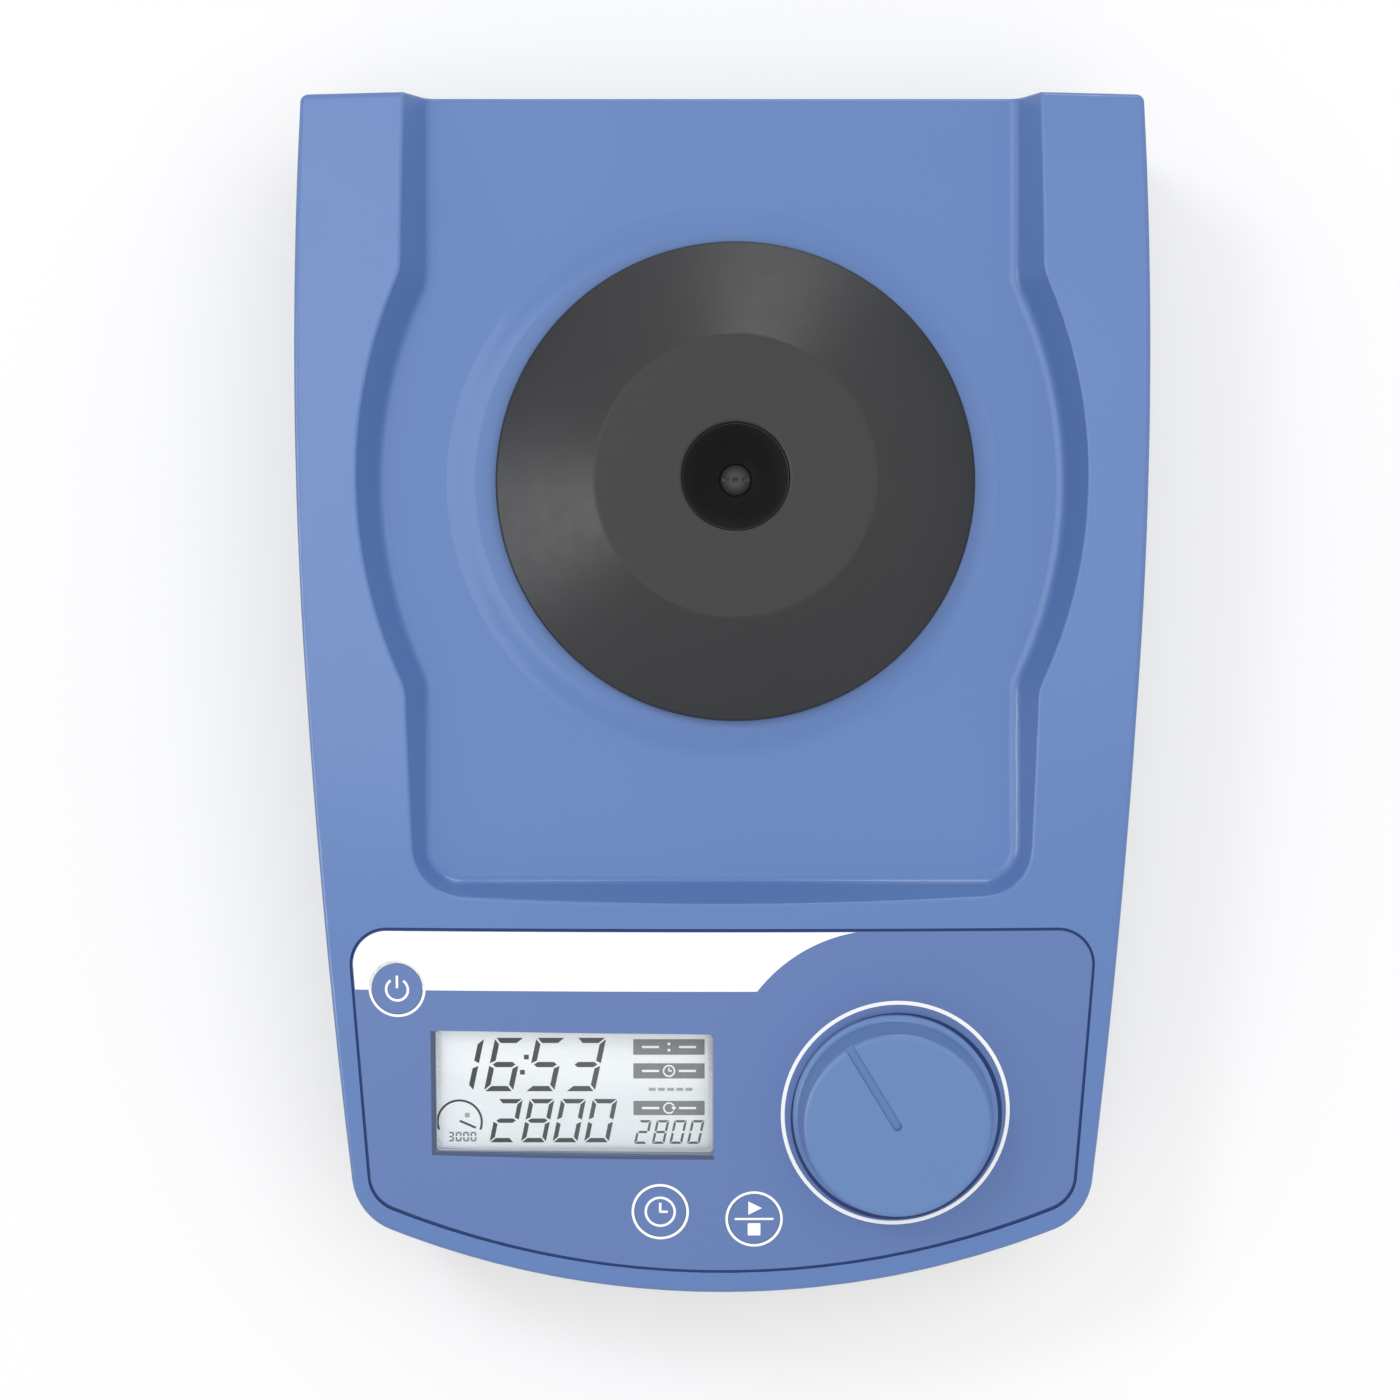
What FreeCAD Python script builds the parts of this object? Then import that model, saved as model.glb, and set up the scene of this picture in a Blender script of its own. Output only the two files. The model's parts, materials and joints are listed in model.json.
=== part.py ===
import FreeCAD, Part
import os
import re

import Sketcher
from FreeCAD import Placement, Rotation, Vector

# Mini shaker: an orbital one-vessel shaker. +Z is up, +Y points to the rear, and the
# origin lies on the bench under the middle of the housing. All lengths in millimetres.

SIZES = {
    # Outline of the housing, seen from above
    "rear_reach": 103.25,
    "nose_reach": 103.25,
    "widest_half_width": 73.3,
    "rear_taper": 1,
    "rear_half_width": "widest_half_width - rear_taper",
    "widest_y": 61,
    "waist_taper": 2,
    "waist_half_width": "widest_half_width - waist_taper",
    "waist_y": 0,
    "flank_taper": 5.25,
    "flank_half_width": "widest_half_width - flank_taper",
    "flank_y": -45,
    "nose_taper": 9.6,
    "nose_half_width": "widest_half_width - nose_taper",
    "nose_bow": 12.95,
    "nose_corner_y": "nose_bow - nose_reach",
    "nose_corner_radius": 10.5,
    "rear_corner_radius": 1.4,
    # Crowned top of the housing
    "crown_height": 58,
    "crown_y": 56,
    "profile_radius": 900,
    "crown_radius": 430,
    "crown_sweep": 40,
    "top_edge_radius": 1.0,
    "wall": 2.8,
    # Recess in the top, open to the rear
    "recess_height": 46,
    "rail_width": 22.6,
    "recess_half_width": "widest_half_width - rail_width",
    "recess_draft": 27,
    "recess_front_inset": 71.55,
    "recess_front_y": "recess_front_inset - nose_reach",
    "recess_corner": 5.8,
    "rail_neck": 14.4,
    "bulge_half_width": "widest_half_width - rail_neck",
    "bulge_reach": 34.7,
    "bulge_blend": 9,
    "recess_floor_radius": 2.2,
    "recess_rim_radius": 0.6,
    # Raised collar on the recess floor
    "collar_foot_radius": 47.6,
    "collar_top_radius": 42.6,
    "collar_rise": 1,
    "collar_bend": 0.16,
    "lip_width": 1.7,
    "lip_rise": 1.1,
    # Lower housing, gasket and feet
    "parting_height": 16,
    "gasket_thickness": 1,
    "gasket_inset": 1.2,
    "gasket_width": 2.2,
    "tray_bottom": 3,
    "tray_floor": 2.5,
    "tray_wall": 4.5,
    "tray_draft": 6,
    "tray_inset": 0.3,
    "tray_edge_radius": 1.5,
    "foot_radius": 8,
    "foot_sink": 1.5,
    "foot_edge": 1,
    "foot_rise": 4.5,
    "foot_gap": 0.1,
    "foot_rear_side_inset": 21.3,
    "foot_rear_x": "waist_half_width - foot_rear_side_inset",
    "foot_rear_inset": 19.25,
    "foot_rear_y": "rear_reach - foot_rear_inset",
    "foot_front_side_inset": 17.7,
    "foot_front_x": "nose_half_width - foot_front_side_inset",
    "foot_front_inset": 33.25,
    "foot_front_y": "foot_front_inset - nose_reach",
    "foot_boss_rise": 2.5,
    "foot_counterbore": 3.7,
    "foot_counterbore_rise": 2.6,
    "foot_screw_length": 5,
    # Screws that hold the two housings together
    "column_radius": 3.2,
    "column_boss_radius": 4,
    "column_side_inset": 9.8,
    "column_x": "waist_half_width - column_side_inset",
    "column_rear_inset": 10.25,
    "column_rear_y": "rear_reach - column_rear_inset",
    "column_mid_y": -10,
    "column_front_side_inset": 10.2,
    "column_front_x": "nose_half_width - column_front_side_inset",
    "column_front_inset": 19.75,
    "column_front_y": "column_front_inset - nose_reach",
    "screw_radius": 1.5,
    "screw_length": 22,
    "screw_seat": 6,
    "screw_head_radius": 2.9,
    "screw_head_rise": 2,
    "screw_gap": 0.15,
    # Drive axis and its eccentric
    "drive_y": 37,
    "eccentricity": 2.25,
    "shaft_radius": 4,
    "shaft_bottom": 7,
    "bearing_radius": 11,
    "bearing_width": 7,
    "bearing_low": 9,
    "bearing_high": 21,
    "bearing_bore_gap": 0.02,
    "frame_bottom": 8,
    "frame_plate": 4,
    "frame_half": 46,
    "frame_corner": 12,
    "frame_hole_inset": 8,
    "tube_radius": 14,
    "tube_top": 28,
    "frame_lip_radius": 9,
    "boss_radius": 5,
    "frame_screw_radius": 2,
    "frame_screw_length": 7,
    "frame_screw_head": 3.5,
    "frame_screw_rise": 2.5,
    "circlip_radius": 6.2,
    "circlip_bore": 3.5,
    "circlip_width": 0.9,
    "circlip_gap": 0.1,
    "spacer_bore": 9,
    "race_width": 2,
    "race_sink": 0.4,
    # Brushless motor
    "stack_low": 14,
    "stack_rise": 10,
    "stator_radius": 25,
    "stator_yoke": 3.6,
    "tooth_count": 12,
    "tooth_half": 1.5,
    "shoe_inner": 23.2,
    "shoe_half": 4.9,
    "coil_inner": 18.4,
    "coil_length": 4.4,
    "coil_build": 1.3,
    "coil_gap": 0.05,
    "air_gap": 0.6,
    "magnet_count": 14,
    "magnet_build": 2.3,
    "magnet_half": 5.1,
    "magnet_low": 14.5,
    "magnet_rise": 9.5,
    "bell_wall": 2.1,
    "bell_low": 13.5,
    "bell_plate": 2.4,
    "bell_lift": 0.6,
    "bell_hub_radius": 6.5,
    "bell_hub_gap": 0.1,
    # Eccentric hub and counterweight
    "hub_radius": 11,
    "hub_rise": 3.6,
    "hub_cap": 1,
    "pin_radius": 4,
    "pin_rise": 6.6,
    "weight_radius": 28,
    "weight_rise": 3.2,
    "weight_gap": 0.05,
    "weight_screw_x": 20,
    "weight_screw_y": 9,
    "weight_screw_length": 5,
    "weight_screw_rise": 1.4,
    # Shaking platform
    "platform_height": 37,
    "platform_plate": 4,
    "platform_hub_radius": 15,
    "platform_hub_drop": 2,
    "platform_disc_radius": 31,
    "idler_reach": 39,
    "lobe_radius": 8,
    "neck_radius": 18,
    "neck_top": 49,
    "neck_gap": 1.25,
    "neck_wall": 2.5,
    "neck_boss_radius": 5,
    "neck_hollow": 5.5,
    "centre_hole_depth": 5,
    # Idler cranks that keep the platform from turning
    "idler_bearing_radius": 5,
    "idler_bearing_width": 4,
    "idler_pin_radius": 2.5,
    "idler_pin_gap": 0.12,
    "idler_pin_stop": 0.2,
    "idler_shoulder": 3.3,
    "idler_shoulder_gap": 0.1,
    "idler_post_radius": 6.8,
    "idler_post_top": 32,
    "idler_disc_radius": 7,
    "idler_disc_lift": 0.8,
    "idler_disc_rise": 2.2,
    # Rubber attachment
    "carrier_radius": 34,
    "carrier_plate": 2,
    "cone_radius": 41.2,
    "cone_low": 48.2,
    "cone_edge": 1.3,
    "cone_flat_radius": 23.84,
    "cone_top": 62.8,
    "carrier_gap": 0.05,
    "cone_edge_radius": 1.0,
    "cup_radius": 9.17,
    "cup_waist_radius": 8.3,
    "cup_waist": 4.2,
    "cup_floor_radius": 5.2,
    "cup_lip_radius": 0.5,
    "centre_screw_head": 2.6,
    "centre_head_rise": 1.8,
    "centre_head_edge": 0.5,
    "centre_head_flat": 0.5,
    "centre_screw_length": 6,
    "centre_slot_width": 0.6,
    "centre_slot_depth": 0.7,
    # Sloping control panel, measured along its own surface
    "panel_inset": 31.64,
    "panel_y": "panel_inset - nose_reach",
    "panel_tilt": 8.2,
    "foil_thickness": 0.8,
    "foil_gap": 0.5,
    "foil_rear_inset": 63.1,
    "foil_rear_y": "foil_rear_inset - nose_reach",
    "foil_side_inset": 9.15,
    "foil_rear_half": "widest_half_width - foil_side_inset",
    "foil_front_side_inset": 2.95,
    "foil_front_half": "nose_half_width - foil_front_side_inset",
    "foil_corner_inset": 3.2,
    "foil_corner_y": "nose_corner_y + foil_corner_inset",
    "foil_nose_inset": 4.05,
    "foil_nose_y": "foil_nose_inset - nose_reach",
    "foil_corner": 6,
    "knob_side_inset": 34.46,
    "knob_x": "foil_rear_half - knob_side_inset",
    "knob_up": -0.15,
    "knob_radius": 17.6,
    "knob_face_radius": 15.9,
    "knob_rise": 7.8,
    "knob_lift": 0.3,
    "knob_shell": 2,
    "knob_hub_radius": 5.5,
    "knob_hub_lift": 0.4,
    "knob_edge": 0.9,
    "knob_skirt": 0.9,
    "knob_cove": 1,
    "knob_slot_width": 1.6,
    "knob_slot_depth": 0.8,
    "knob_slot_angle": 121,
    "encoder_shaft_radius": 3,
    "encoder_shaft_sink": 1,
    "encoder_shaft_gap": 0.05,
    "bushing_radius": 4.5,
    "bushing_gap": 0.1,
    "bushing_rise": 0.2,
    "nut_across": 12,
    "nut_rise": 1.5,
    "nut_gap": 0.05,
    "encoder_half": 6.3,
    "encoder_top_gap": 0.15,
    "window_x": -25.5,
    "window_up": 3.2,
    "window_half_x": 24,
    "window_half_y": 10.75,
    "window_corner": 0.8,
    "window_sink": 4.4,
    "window_plate": 2,
    "window_gap": 0.1,
    "display_margin_x": 2.5,
    "display_margin_y": 2,
    "power_key_inset": 8.2,
    "power_key_x": "power_key_inset - foil_rear_half",
    "power_key_up": 21.04,
    "time_key_x": -10.7,
    "time_key_up": -17.47,
    "start_key_x": 5.49,
    "start_key_up": -18.74,
    "key_radius": 4.4,
    "key_gap": 0.2,
    "key_blank": 1.5,
    "key_flange_radius": 5.4,
    "key_flange": 0.6,
    "key_flange_gap": 0.45,
    "key_stem_radius": 1.5,
    "key_travel": 0.4,
    "dome_radius": 3,
    "dome_rise": 1.2,
    "dome_gap": 0.1,
    "power_key_sag": "power_key_x^2 / (2 * crown_radius) + power_key_up^2 / (2 * profile_radius)",
    "power_key_lean": "-power_key_x / crown_radius * key_flange_radius",
    "key_flange_low": "power_key_sag + power_key_lean + wall + key_flange_gap + key_flange",
    "key_stem_rise": 0.36,
    "panel_board_depth": "key_flange_low + key_stem_rise + key_travel + dome_gap + dome_rise",
    "panel_board": 1.6,
    "panel_board_side_inset": 8.05,
    "panel_board_half_x": "flank_half_width - panel_board_side_inset",
    "panel_board_front_inset": 16.2,
    "panel_board_front_half": "nose_half_width - panel_board_front_inset",
    "panel_board_rear": 25,
    "panel_board_step": -9,
    "panel_board_front": -22.5,
    "panel_post_inset": 4,
    "panel_post_x": "panel_board_half_x - panel_post_inset",
    "panel_post_up": -4,
    "panel_rear_post_left": -30,
    "panel_rear_post_right": 40,
    "panel_rear_post_up": 21,
    "panel_post_radius": 2.6,
    "panel_screw_radius": 1.2,
    "panel_screw_length": 5,
    "panel_screw_head": 2.3,
    "panel_screw_rise": 1.4,
    # Electronics in the tray
    "board_height": 10.4,
    "board_thickness": 1.6,
    "board_side_inset": 9.5,
    "board_half_x": "column_front_x - board_side_inset",
    "board_rear_gap": 9,
    "board_rear_y": "drive_y - frame_half - board_rear_gap",
    "board_front_inset": 19.25,
    "board_front_y": "board_front_inset - nose_reach",
    "board_hole_inset": 5,
    "board_boss_radius": 3.5,
    "heatsink_x": 14,
    "heatsink_y": -50,
    "heatsink_half_x": 12,
    "heatsink_half_y": 9,
    "heatsink_base": 2,
    "heatsink_rise": 10,
    "heatsink_fins": 6,
    "heatsink_fin": 1.2,
    "capacitor_x": -30,
    "capacitor_y": -40,
    "capacitor_pitch": 11,
    "capacitor_radius": 4,
    "capacitor_rise": 12,
    "processor_x": -16,
    "processor_y": -64,
    "processor_half": 5,
    "processor_rise": 1.2,
    "ballast_inner_gap": 3,
    "ballast_inner_x": "frame_half + ballast_inner_gap",
    "ballast_outer_inset": 11.3,
    "ballast_outer_x": "waist_half_width - ballast_outer_inset",
    "ballast_rear_gap": 17,
    "ballast_rear_y": "column_rear_y - ballast_rear_gap",
    "ballast_front_y": 2,
    "ballast_rise": 9,
    # Power inlet in the rear wall
    "inlet_x": 40,
    "inlet_z": 28,
    "inlet_radius": 5.5,
    "inlet_length": 13,
    "inlet_flange": 7.5,
    "inlet_flange_rise": 1.5,
    "inlet_bore": 3.1,
    "inlet_bore_depth": 9,
    "inlet_pin_radius": 1.1,
    "inlet_pin_sink": 1,
    "inlet_gap": 0.1,
    # Depth of blind screw holes past the screw's tip
    "tip_gap": 0.5,
}

doc = FreeCAD.newDocument("mini_shaker")
sheet = doc.addObject("Spreadsheet::Sheet", "sizes")
nodes = []


def fill_sheet():
    for row, (name, value) in enumerate(SIZES.items(), start=1):
        sheet.set(f"A{row}", name)
        sheet.set(f"B{row}", "=" + value if isinstance(value, str) else str(value))
        sheet.setAlias(f"B{row}", name)
    doc.recompute()


# An expression in which every size name points to its cell
def linked(text):
    def cell(found):
        word = found.group(0)
        return "sizes." + word if word in SIZES else word
    return re.sub(r"[a-z_][a-z_0-9]*", cell, str(text))


def amount(text):
    found = sheet.evalExpression(linked(text))
    return float(getattr(found, "Value", found))


def new_body(label):
    body = doc.addObject("PartDesign::Body", label)
    body.Label = label
    return body


def axis_of(body, role):
    return next(item for item in body.Origin.OriginFeatures if item.Role == role)


def sketch(body, name, role="XY_Plane", lift="0", rise="0"):
    made = body.newObject("Sketcher::SketchObject", name)
    made.AttachmentSupport = [(axis_of(body, role), "")]
    made.MapMode = "FlatFace"
    made.setExpression("AttachmentOffset.Base.z", linked(lift))
    made.setExpression("AttachmentOffset.Base.y", linked(rise))
    return made


def bind(made, kind, items, text):
    index = made.addConstraint(Sketcher.Constraint(kind, *items, amount(text)))
    made.setExpression(f"Constraints[{index}]", linked(text))


def bind_point(made, index, end, x, y):
    bind(made, "DistanceX", (-1, 1, index, end), x)
    bind(made, "DistanceY", (-1, 1, index, end), y)


# A closed outline. A corner is (x, y); (x, y, "arc") is a point that the edge between
# its two neighbours bends through.
def outline(made, corners):
    count = len(corners)
    places = [Vector(amount(item[0]), amount(item[1]), 0) for item in corners]
    edges = []
    for number in range(count):
        if len(corners[number]) == 3:
            continue
        follower = (number + 1) % count
        through = None
        if len(corners[follower]) == 3:
            through = follower
            follower = (follower + 1) % count
        first = places[number]
        last = places[follower]
        if through is None:
            index = made.addGeometry(Part.LineSegment(first, last), False)
            edges.append((index, 1, 2, number, None))
            continue
        middle = places[through]
        turn = (middle - first).cross(last - middle).z
        if turn > 0:
            index = made.addGeometry(Part.Arc(first, middle, last), False)
            edges.append((index, 1, 2, number, through))
        else:
            index = made.addGeometry(Part.Arc(last, middle, first), False)
            edges.append((index, 2, 1, number, through))
    for (index, start, end, number, through), following in zip(edges, edges[1:] + edges[:1]):
        made.addConstraint(Sketcher.Constraint("Coincident", index, end, following[0], following[1]))
        bind_point(made, index, start, corners[number][0], corners[number][1])
        if through is not None:
            mark = made.addGeometry(Part.Point(places[through]), True)
            bind_point(made, mark, 1, corners[through][0], corners[through][1])
            made.addConstraint(Sketcher.Constraint("PointOnObject", mark, 1, index))


def circle(made, x, y, radius):
    centre = Vector(amount(x), amount(y), 0)
    index = made.addGeometry(Part.Circle(centre, Vector(0, 0, 1), amount(radius)), False)
    bind_point(made, index, 3, x, y)
    bind(made, "Radius", (index,), radius)


def rectangle(made, left, right, low, high):
    outline(made, [(left, low), (right, low), (right, high), (left, high)])


def pad(body, made, length, taper=None, back=False):
    feature = body.newObject("PartDesign::Pad", made.Name + "_pad")
    feature.Profile = made
    feature.setExpression("Length", linked(length))
    feature.Reversed = back
    if taper:
        feature.setExpression("TaperAngle", linked(taper))
    return feature


def pocket(body, made, length, taper=None, back=False):
    feature = body.newObject("PartDesign::Pocket", made.Name + "_pocket")
    feature.Profile = made
    feature.setExpression("Length", linked(length))
    feature.Reversed = back
    if taper:
        feature.setExpression("TaperAngle", linked(taper))
    return feature


def turn_round(body, made, kind="PartDesign::Revolution", axis="V_Axis"):
    feature = body.newObject(kind, made.Name + "_turn")
    feature.Profile = made
    feature.ReferenceAxis = (made, [axis])
    feature.Angle = 360
    return feature


def repeat_round(body, feature, count):
    pattern = body.newObject("PartDesign::PolarPattern", feature.Name + "_round")
    pattern.Originals = [feature]
    pattern.Axis = (axis_of(body, "Z_Axis"), [""])
    pattern.Angle = 360
    pattern.setExpression("Occurrences", linked(count))
    body.Tip = pattern
    return pattern


# Rounds the edges of the body's last feature that the test picks
def round_edges(body, name, radius, wanted):
    doc.recompute()
    base = body.Tip
    picked = [f"Edge{number}" for number, edge in enumerate(base.Shape.Edges, start=1) if wanted(edge)]
    feature = body.newObject("PartDesign::Fillet", name)
    feature.Base = (base, picked)
    feature.setExpression("Radius", linked(radius))
    doc.recompute()
    return feature


def place(item, x="0", y="0", z="0", tilt=None):
    turn = Rotation(Vector(1, 0, 0), amount(tilt)) if tilt else Rotation()
    item.Placement = Placement(Vector(amount(x), amount(y), amount(z)), turn)
    for axis, text in zip("xyz", (x, y, z)):
        item.setExpression("Placement.Base." + axis, linked(text))
    if tilt:
        item.setExpression("Placement.Rotation.Angle", linked(tilt))
    return item


def keep(item, label=None):
    if label:
        item.Label = label
    nodes.append(item)
    return item


# A body of revolution from a profile of (radius, height) corners
def turned(label, profile, x="0", y="0", z="0", tilt=None):
    body = new_body(label)
    made = sketch(body, label + "_profile", "XZ_Plane")
    outline(made, profile)
    turn_round(body, made)
    return place(body, x, y, z, tilt)


def combined(kind, label, base, tool):
    made = doc.addObject(kind, label)
    made.Base = base
    made.Tool = tool
    made.Label = label
    return made


def gathered(label, items):
    made = doc.addObject("Part::Compound", label)
    made.Links = items
    made.Label = label
    return made


# The outline of the housing, moved inwards by the inset
def housing_outline(made, inset="0"):
    rear = f"rear_reach - ({inset})"
    nose = f"-nose_reach + ({inset})"
    corner_y = f"nose_corner_y + ({inset})"
    corner_x = f"nose_half_width - ({inset})"
    outline(made, [
        (f"rear_half_width - ({inset})", rear),
        (f"-(rear_half_width - ({inset}))", rear),
        (f"-(widest_half_width - ({inset}))", "widest_y", "arc"),
        (f"-(waist_half_width - ({inset}))", "waist_y"),
        (f"-(flank_half_width - ({inset}))", "flank_y", "arc"),
        (f"-({corner_x})", corner_y),
        ("0", nose, "arc"),
        (corner_x, corner_y),
        (f"flank_half_width - ({inset})", "flank_y", "arc"),
        (f"waist_half_width - ({inset})", "waist_y"),
        (f"widest_half_width - ({inset})", "widest_y", "arc"),
    ])


def upright_near(x, y, reach):
    def wanted(edge):
        box = edge.BoundBox
        near = abs(abs(box.Center.x) - amount(x)) < reach and abs(box.Center.y - amount(y)) < reach
        return near and box.ZLength > max(box.XLength, box.YLength)
    return wanted


# Cuts away what lies above (or, turned over, below) the crowned surface lowered by the drop.
# The surface is an arc over the length, turned round an axis far below the housing.
def crown_cut(body, name, drop="0", below=False):
    made = sketch(body, name, "YZ_Plane", rise="crown_height - crown_radius")
    reach = "profile_radius * 0.15"
    front = f"crown_y - 2 * {reach}"
    rear = f"crown_y + {reach}"
    arc_top = f"crown_radius - ({drop})"
    bend = f"profile_radius - ({drop})"
    far = "crown_radius + crown_height"
    if below:
        far = "crown_radius - 1.5 * crown_height"
    sag_front = f"{arc_top} - {bend} + sqrt(({bend})^2 - (2 * {reach})^2)"
    sag_rear = f"{arc_top} - {bend} + sqrt(({bend})^2 - ({reach})^2)"
    outline(made, [
        (front, sag_front),
        ("crown_y", arc_top, "arc"),
        (rear, sag_rear),
        (rear, far),
        (front, far),
    ])
    groove = turn_round(body, made, "PartDesign::Groove", "H_Axis")
    groove.Midplane = True
    groove.setExpression("Angle", linked("crown_sweep"))
    return groove


# Height of the crowned surface over a spot of the plan
def crown_at(x, y):
    ring = f"(crown_radius - profile_radius + sqrt(profile_radius^2 - (({y}) - crown_y)^2))"
    return f"(crown_height - crown_radius + sqrt({ring}^2 - ({x})^2))"


# The recess at one height: two straight sides with a round bulge in each, open to the rear
def recess_outline(made, grow="0"):
    side = f"(recess_half_width + ({grow}))"
    bulge = f"(bulge_half_width + ({grow}))"
    front = f"(recess_front_y - ({grow}))"
    corner = f"(recess_corner + ({grow}))"
    bend = f"{corner} * (1 - sqrt(0.5))"
    rear = "rear_reach * 1.1"
    outline(made, [
        (side, rear),
        (f"-{side}", rear),
        (f"-{side}", "drive_y + bulge_reach"),
        (f"-{bulge}", "drive_y", "arc"),
        (f"-{side}", "drive_y - bulge_reach"),
        (f"-{side}", f"{front} + {corner}"),
        (f"-({side} - {bend})", f"{front} + {bend}", "arc"),
        (f"-({side} - {corner})", front),
        (f"{side} - {corner}", front),
        (f"{side} - {bend}", f"{front} + {bend}", "arc"),
        (side, f"{front} + {corner}"),
        (side, "drive_y - bulge_reach"),
        (bulge, "drive_y", "arc"),
        (side, "drive_y + bulge_reach"),
    ])


# A slab with the housing's outline and rounded nose corners, from one height upwards
def housing_slab(label, inset, low, rise, draft=None, down=False):
    body = new_body(label)
    plan = sketch(body, label + "_plan", lift=low)
    housing_outline(plan, inset)
    pad(body, plan, rise, draft, down)
    corner = upright_near(f"nose_half_width - ({inset})", f"nose_corner_y + ({inset})", 1.5)
    round_edges(body, label + "_corners", f"nose_corner_radius - ({inset})", corner)
    return body


def mid_point(edge):
    return edge.valueAt((edge.FirstParameter + edge.LastParameter) / 2)


# Edges that lie in the crowned surface: the outer ones, or those round the recess
def crown_edges(outer):
    between = amount("(bulge_half_width + widest_half_width) / 2")
    front = amount("nose_corner_y + nose_corner_radius")
    rear = amount("rear_reach - rear_corner_radius - top_edge_radius / 2")

    def wanted(edge):
        spot = mid_point(edge)
        if edge.BoundBox.ZMin < amount("recess_height * 0.85"):
            return False
        height = amount(crown_at(str(spot.x), str(spot.y)))
        on_crown = abs(spot.z - height) < amount("rear_corner_radius") / 20
        outside = abs(spot.x) > between or spot.y < front or spot.y > rear
        return on_crown and outside == outer
    return wanted


def floor_edges(edge):
    box = edge.BoundBox
    level = abs(box.ZMin - amount("recess_height")) < 0.01 and box.ZLength < 0.01
    return level and box.Center.y < amount("rear_reach") - 0.5


def bulge_corner(edge):
    box = edge.BoundBox
    beside = abs(abs(box.Center.y - amount("drive_y")) - amount("bulge_reach")) < 2
    inside = abs(box.Center.x) < amount("bulge_half_width")
    return beside and inside and box.ZLength > amount("recess_height * 0.1")


COLUMNS = [
    ("column_x", "column_rear_y"),
    ("-column_x", "column_rear_y"),
    ("column_x", "column_mid_y"),
    ("-column_x", "column_mid_y"),
    ("column_front_x", "column_front_y"),
    ("-column_front_x", "column_front_y"),
]
FEET = [
    ("foot_rear_x", "foot_rear_y"),
    ("-foot_rear_x", "foot_rear_y"),
    ("foot_front_x", "foot_front_y"),
    ("-foot_front_x", "foot_front_y"),
]
FRAME_HOLES = [
    ("frame_half - frame_hole_inset", "frame_half - frame_hole_inset"),
    ("-(frame_half - frame_hole_inset)", "frame_half - frame_hole_inset"),
    ("frame_half - frame_hole_inset", "-(frame_half - frame_hole_inset)"),
    ("-(frame_half - frame_hole_inset)", "-(frame_half - frame_hole_inset)"),
]
BOARD_HOLES = [
    ("board_half_x - board_hole_inset", "board_rear_y - board_hole_inset"),
    ("-(board_half_x - board_hole_inset)", "board_rear_y - board_hole_inset"),
    ("board_half_x - board_hole_inset", "board_front_y + board_hole_inset"),
    ("-(board_half_x - board_hole_inset)", "board_front_y + board_hole_inset"),
]
PANEL_POSTS = [
    ("panel_post_x", "panel_post_up"),
    ("-panel_post_x", "panel_post_up"),
    ("panel_rear_post_left", "panel_rear_post_up"),
    ("panel_rear_post_right", "panel_rear_post_up"),
]
HOLE = "(screw_radius + screw_gap)"
PARTING_TOP = "(parting_height + gasket_thickness)"
FLOOR_TOP = "(tray_bottom + tray_floor)"


# Several equal discs or holes in one sketch
def circles(body, name, spots, radius, lift):
    made = sketch(body, name, lift=lift)
    for x, y in spots:
        circle(made, x, y, radius)
    return made


# A place on the sloping panel: across, up along its surface, and out from it
def on_panel(x="0", up="0", out="0"):
    along = "cos(panel_tilt * 1 deg)"
    across = "sin(panel_tilt * 1 deg)"
    return {
        "x": x,
        "y": f"panel_y + ({up}) * {along} - ({out}) * {across}",
        "z": f"{crown_at('0', 'panel_y')} + ({up}) * {across} + ({out}) * {along}",
        "tilt": "panel_tilt",
    }


# How far the crowned surface lies below the panel's flat reference plane
def panel_drop(x, up):
    return f"(({x})^2 / (2 * crown_radius) + ({up})^2 / (2 * profile_radius))"


def foil_outline(made, grow="0"):
    outline(made, [
        (f"foil_rear_half + ({grow})", f"foil_rear_y + ({grow})"),
        (f"-(foil_rear_half + ({grow}))", f"foil_rear_y + ({grow})"),
        (f"-(foil_front_half + ({grow}))", f"foil_corner_y - ({grow})"),
        ("0", f"foil_nose_y - ({grow})", "arc"),
        (f"foil_front_half + ({grow})", f"foil_corner_y - ({grow})"),
    ])


def foil_slab(label, grow):
    body = new_body(label)
    plan = sketch(body, label + "_plan", lift="recess_height / 2")
    foil_outline(plan, grow)
    pad(body, plan, "crown_height")
    rear = upright_near("foil_rear_half", "foil_rear_y", 2)
    front = upright_near("foil_front_half", "foil_corner_y", 2)
    round_edges(body, label + "_corners", f"foil_corner + ({grow})", lambda edge: rear(edge) or front(edge))
    crown_cut(body, label + "_underside", "foil_thickness", below=True)
    return body


# The openings through panel and foil, square to the panel
def panel_openings():
    body = new_body("panel_openings")
    low = "-(panel_board_depth - dome_rise)"
    rise = "2 * panel_board_depth"
    holes = sketch(body, "panel_holes", lift=low)
    circle(holes, "knob_x", "knob_up", "bushing_radius + bushing_gap")
    for name in ("power", "time", "start"):
        circle(holes, f"{name}_key_x", f"{name}_key_up", "key_radius + key_gap")
    pad(body, holes, rise)
    window = sketch(body, "window_hole", lift=low)
    rectangle(window, "window_x - window_half_x", "window_x + window_half_x",
              "window_up - window_half_y", "window_up + window_half_y")
    pad(body, window, rise)
    middle = amount("window_x")

    def corner(edge):
        box = edge.BoundBox
        upright = abs(edge.Length - box.ZLength) < 0.01
        straight = edge.Curve.TypeId == "Part::GeomLine"
        return upright and straight and abs(abs(box.Center.x - middle) - amount("window_half_x")) < 0.1
    round_edges(body, "window_corners", "window_corner", corner)
    place(body, **on_panel())
    return body


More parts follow.
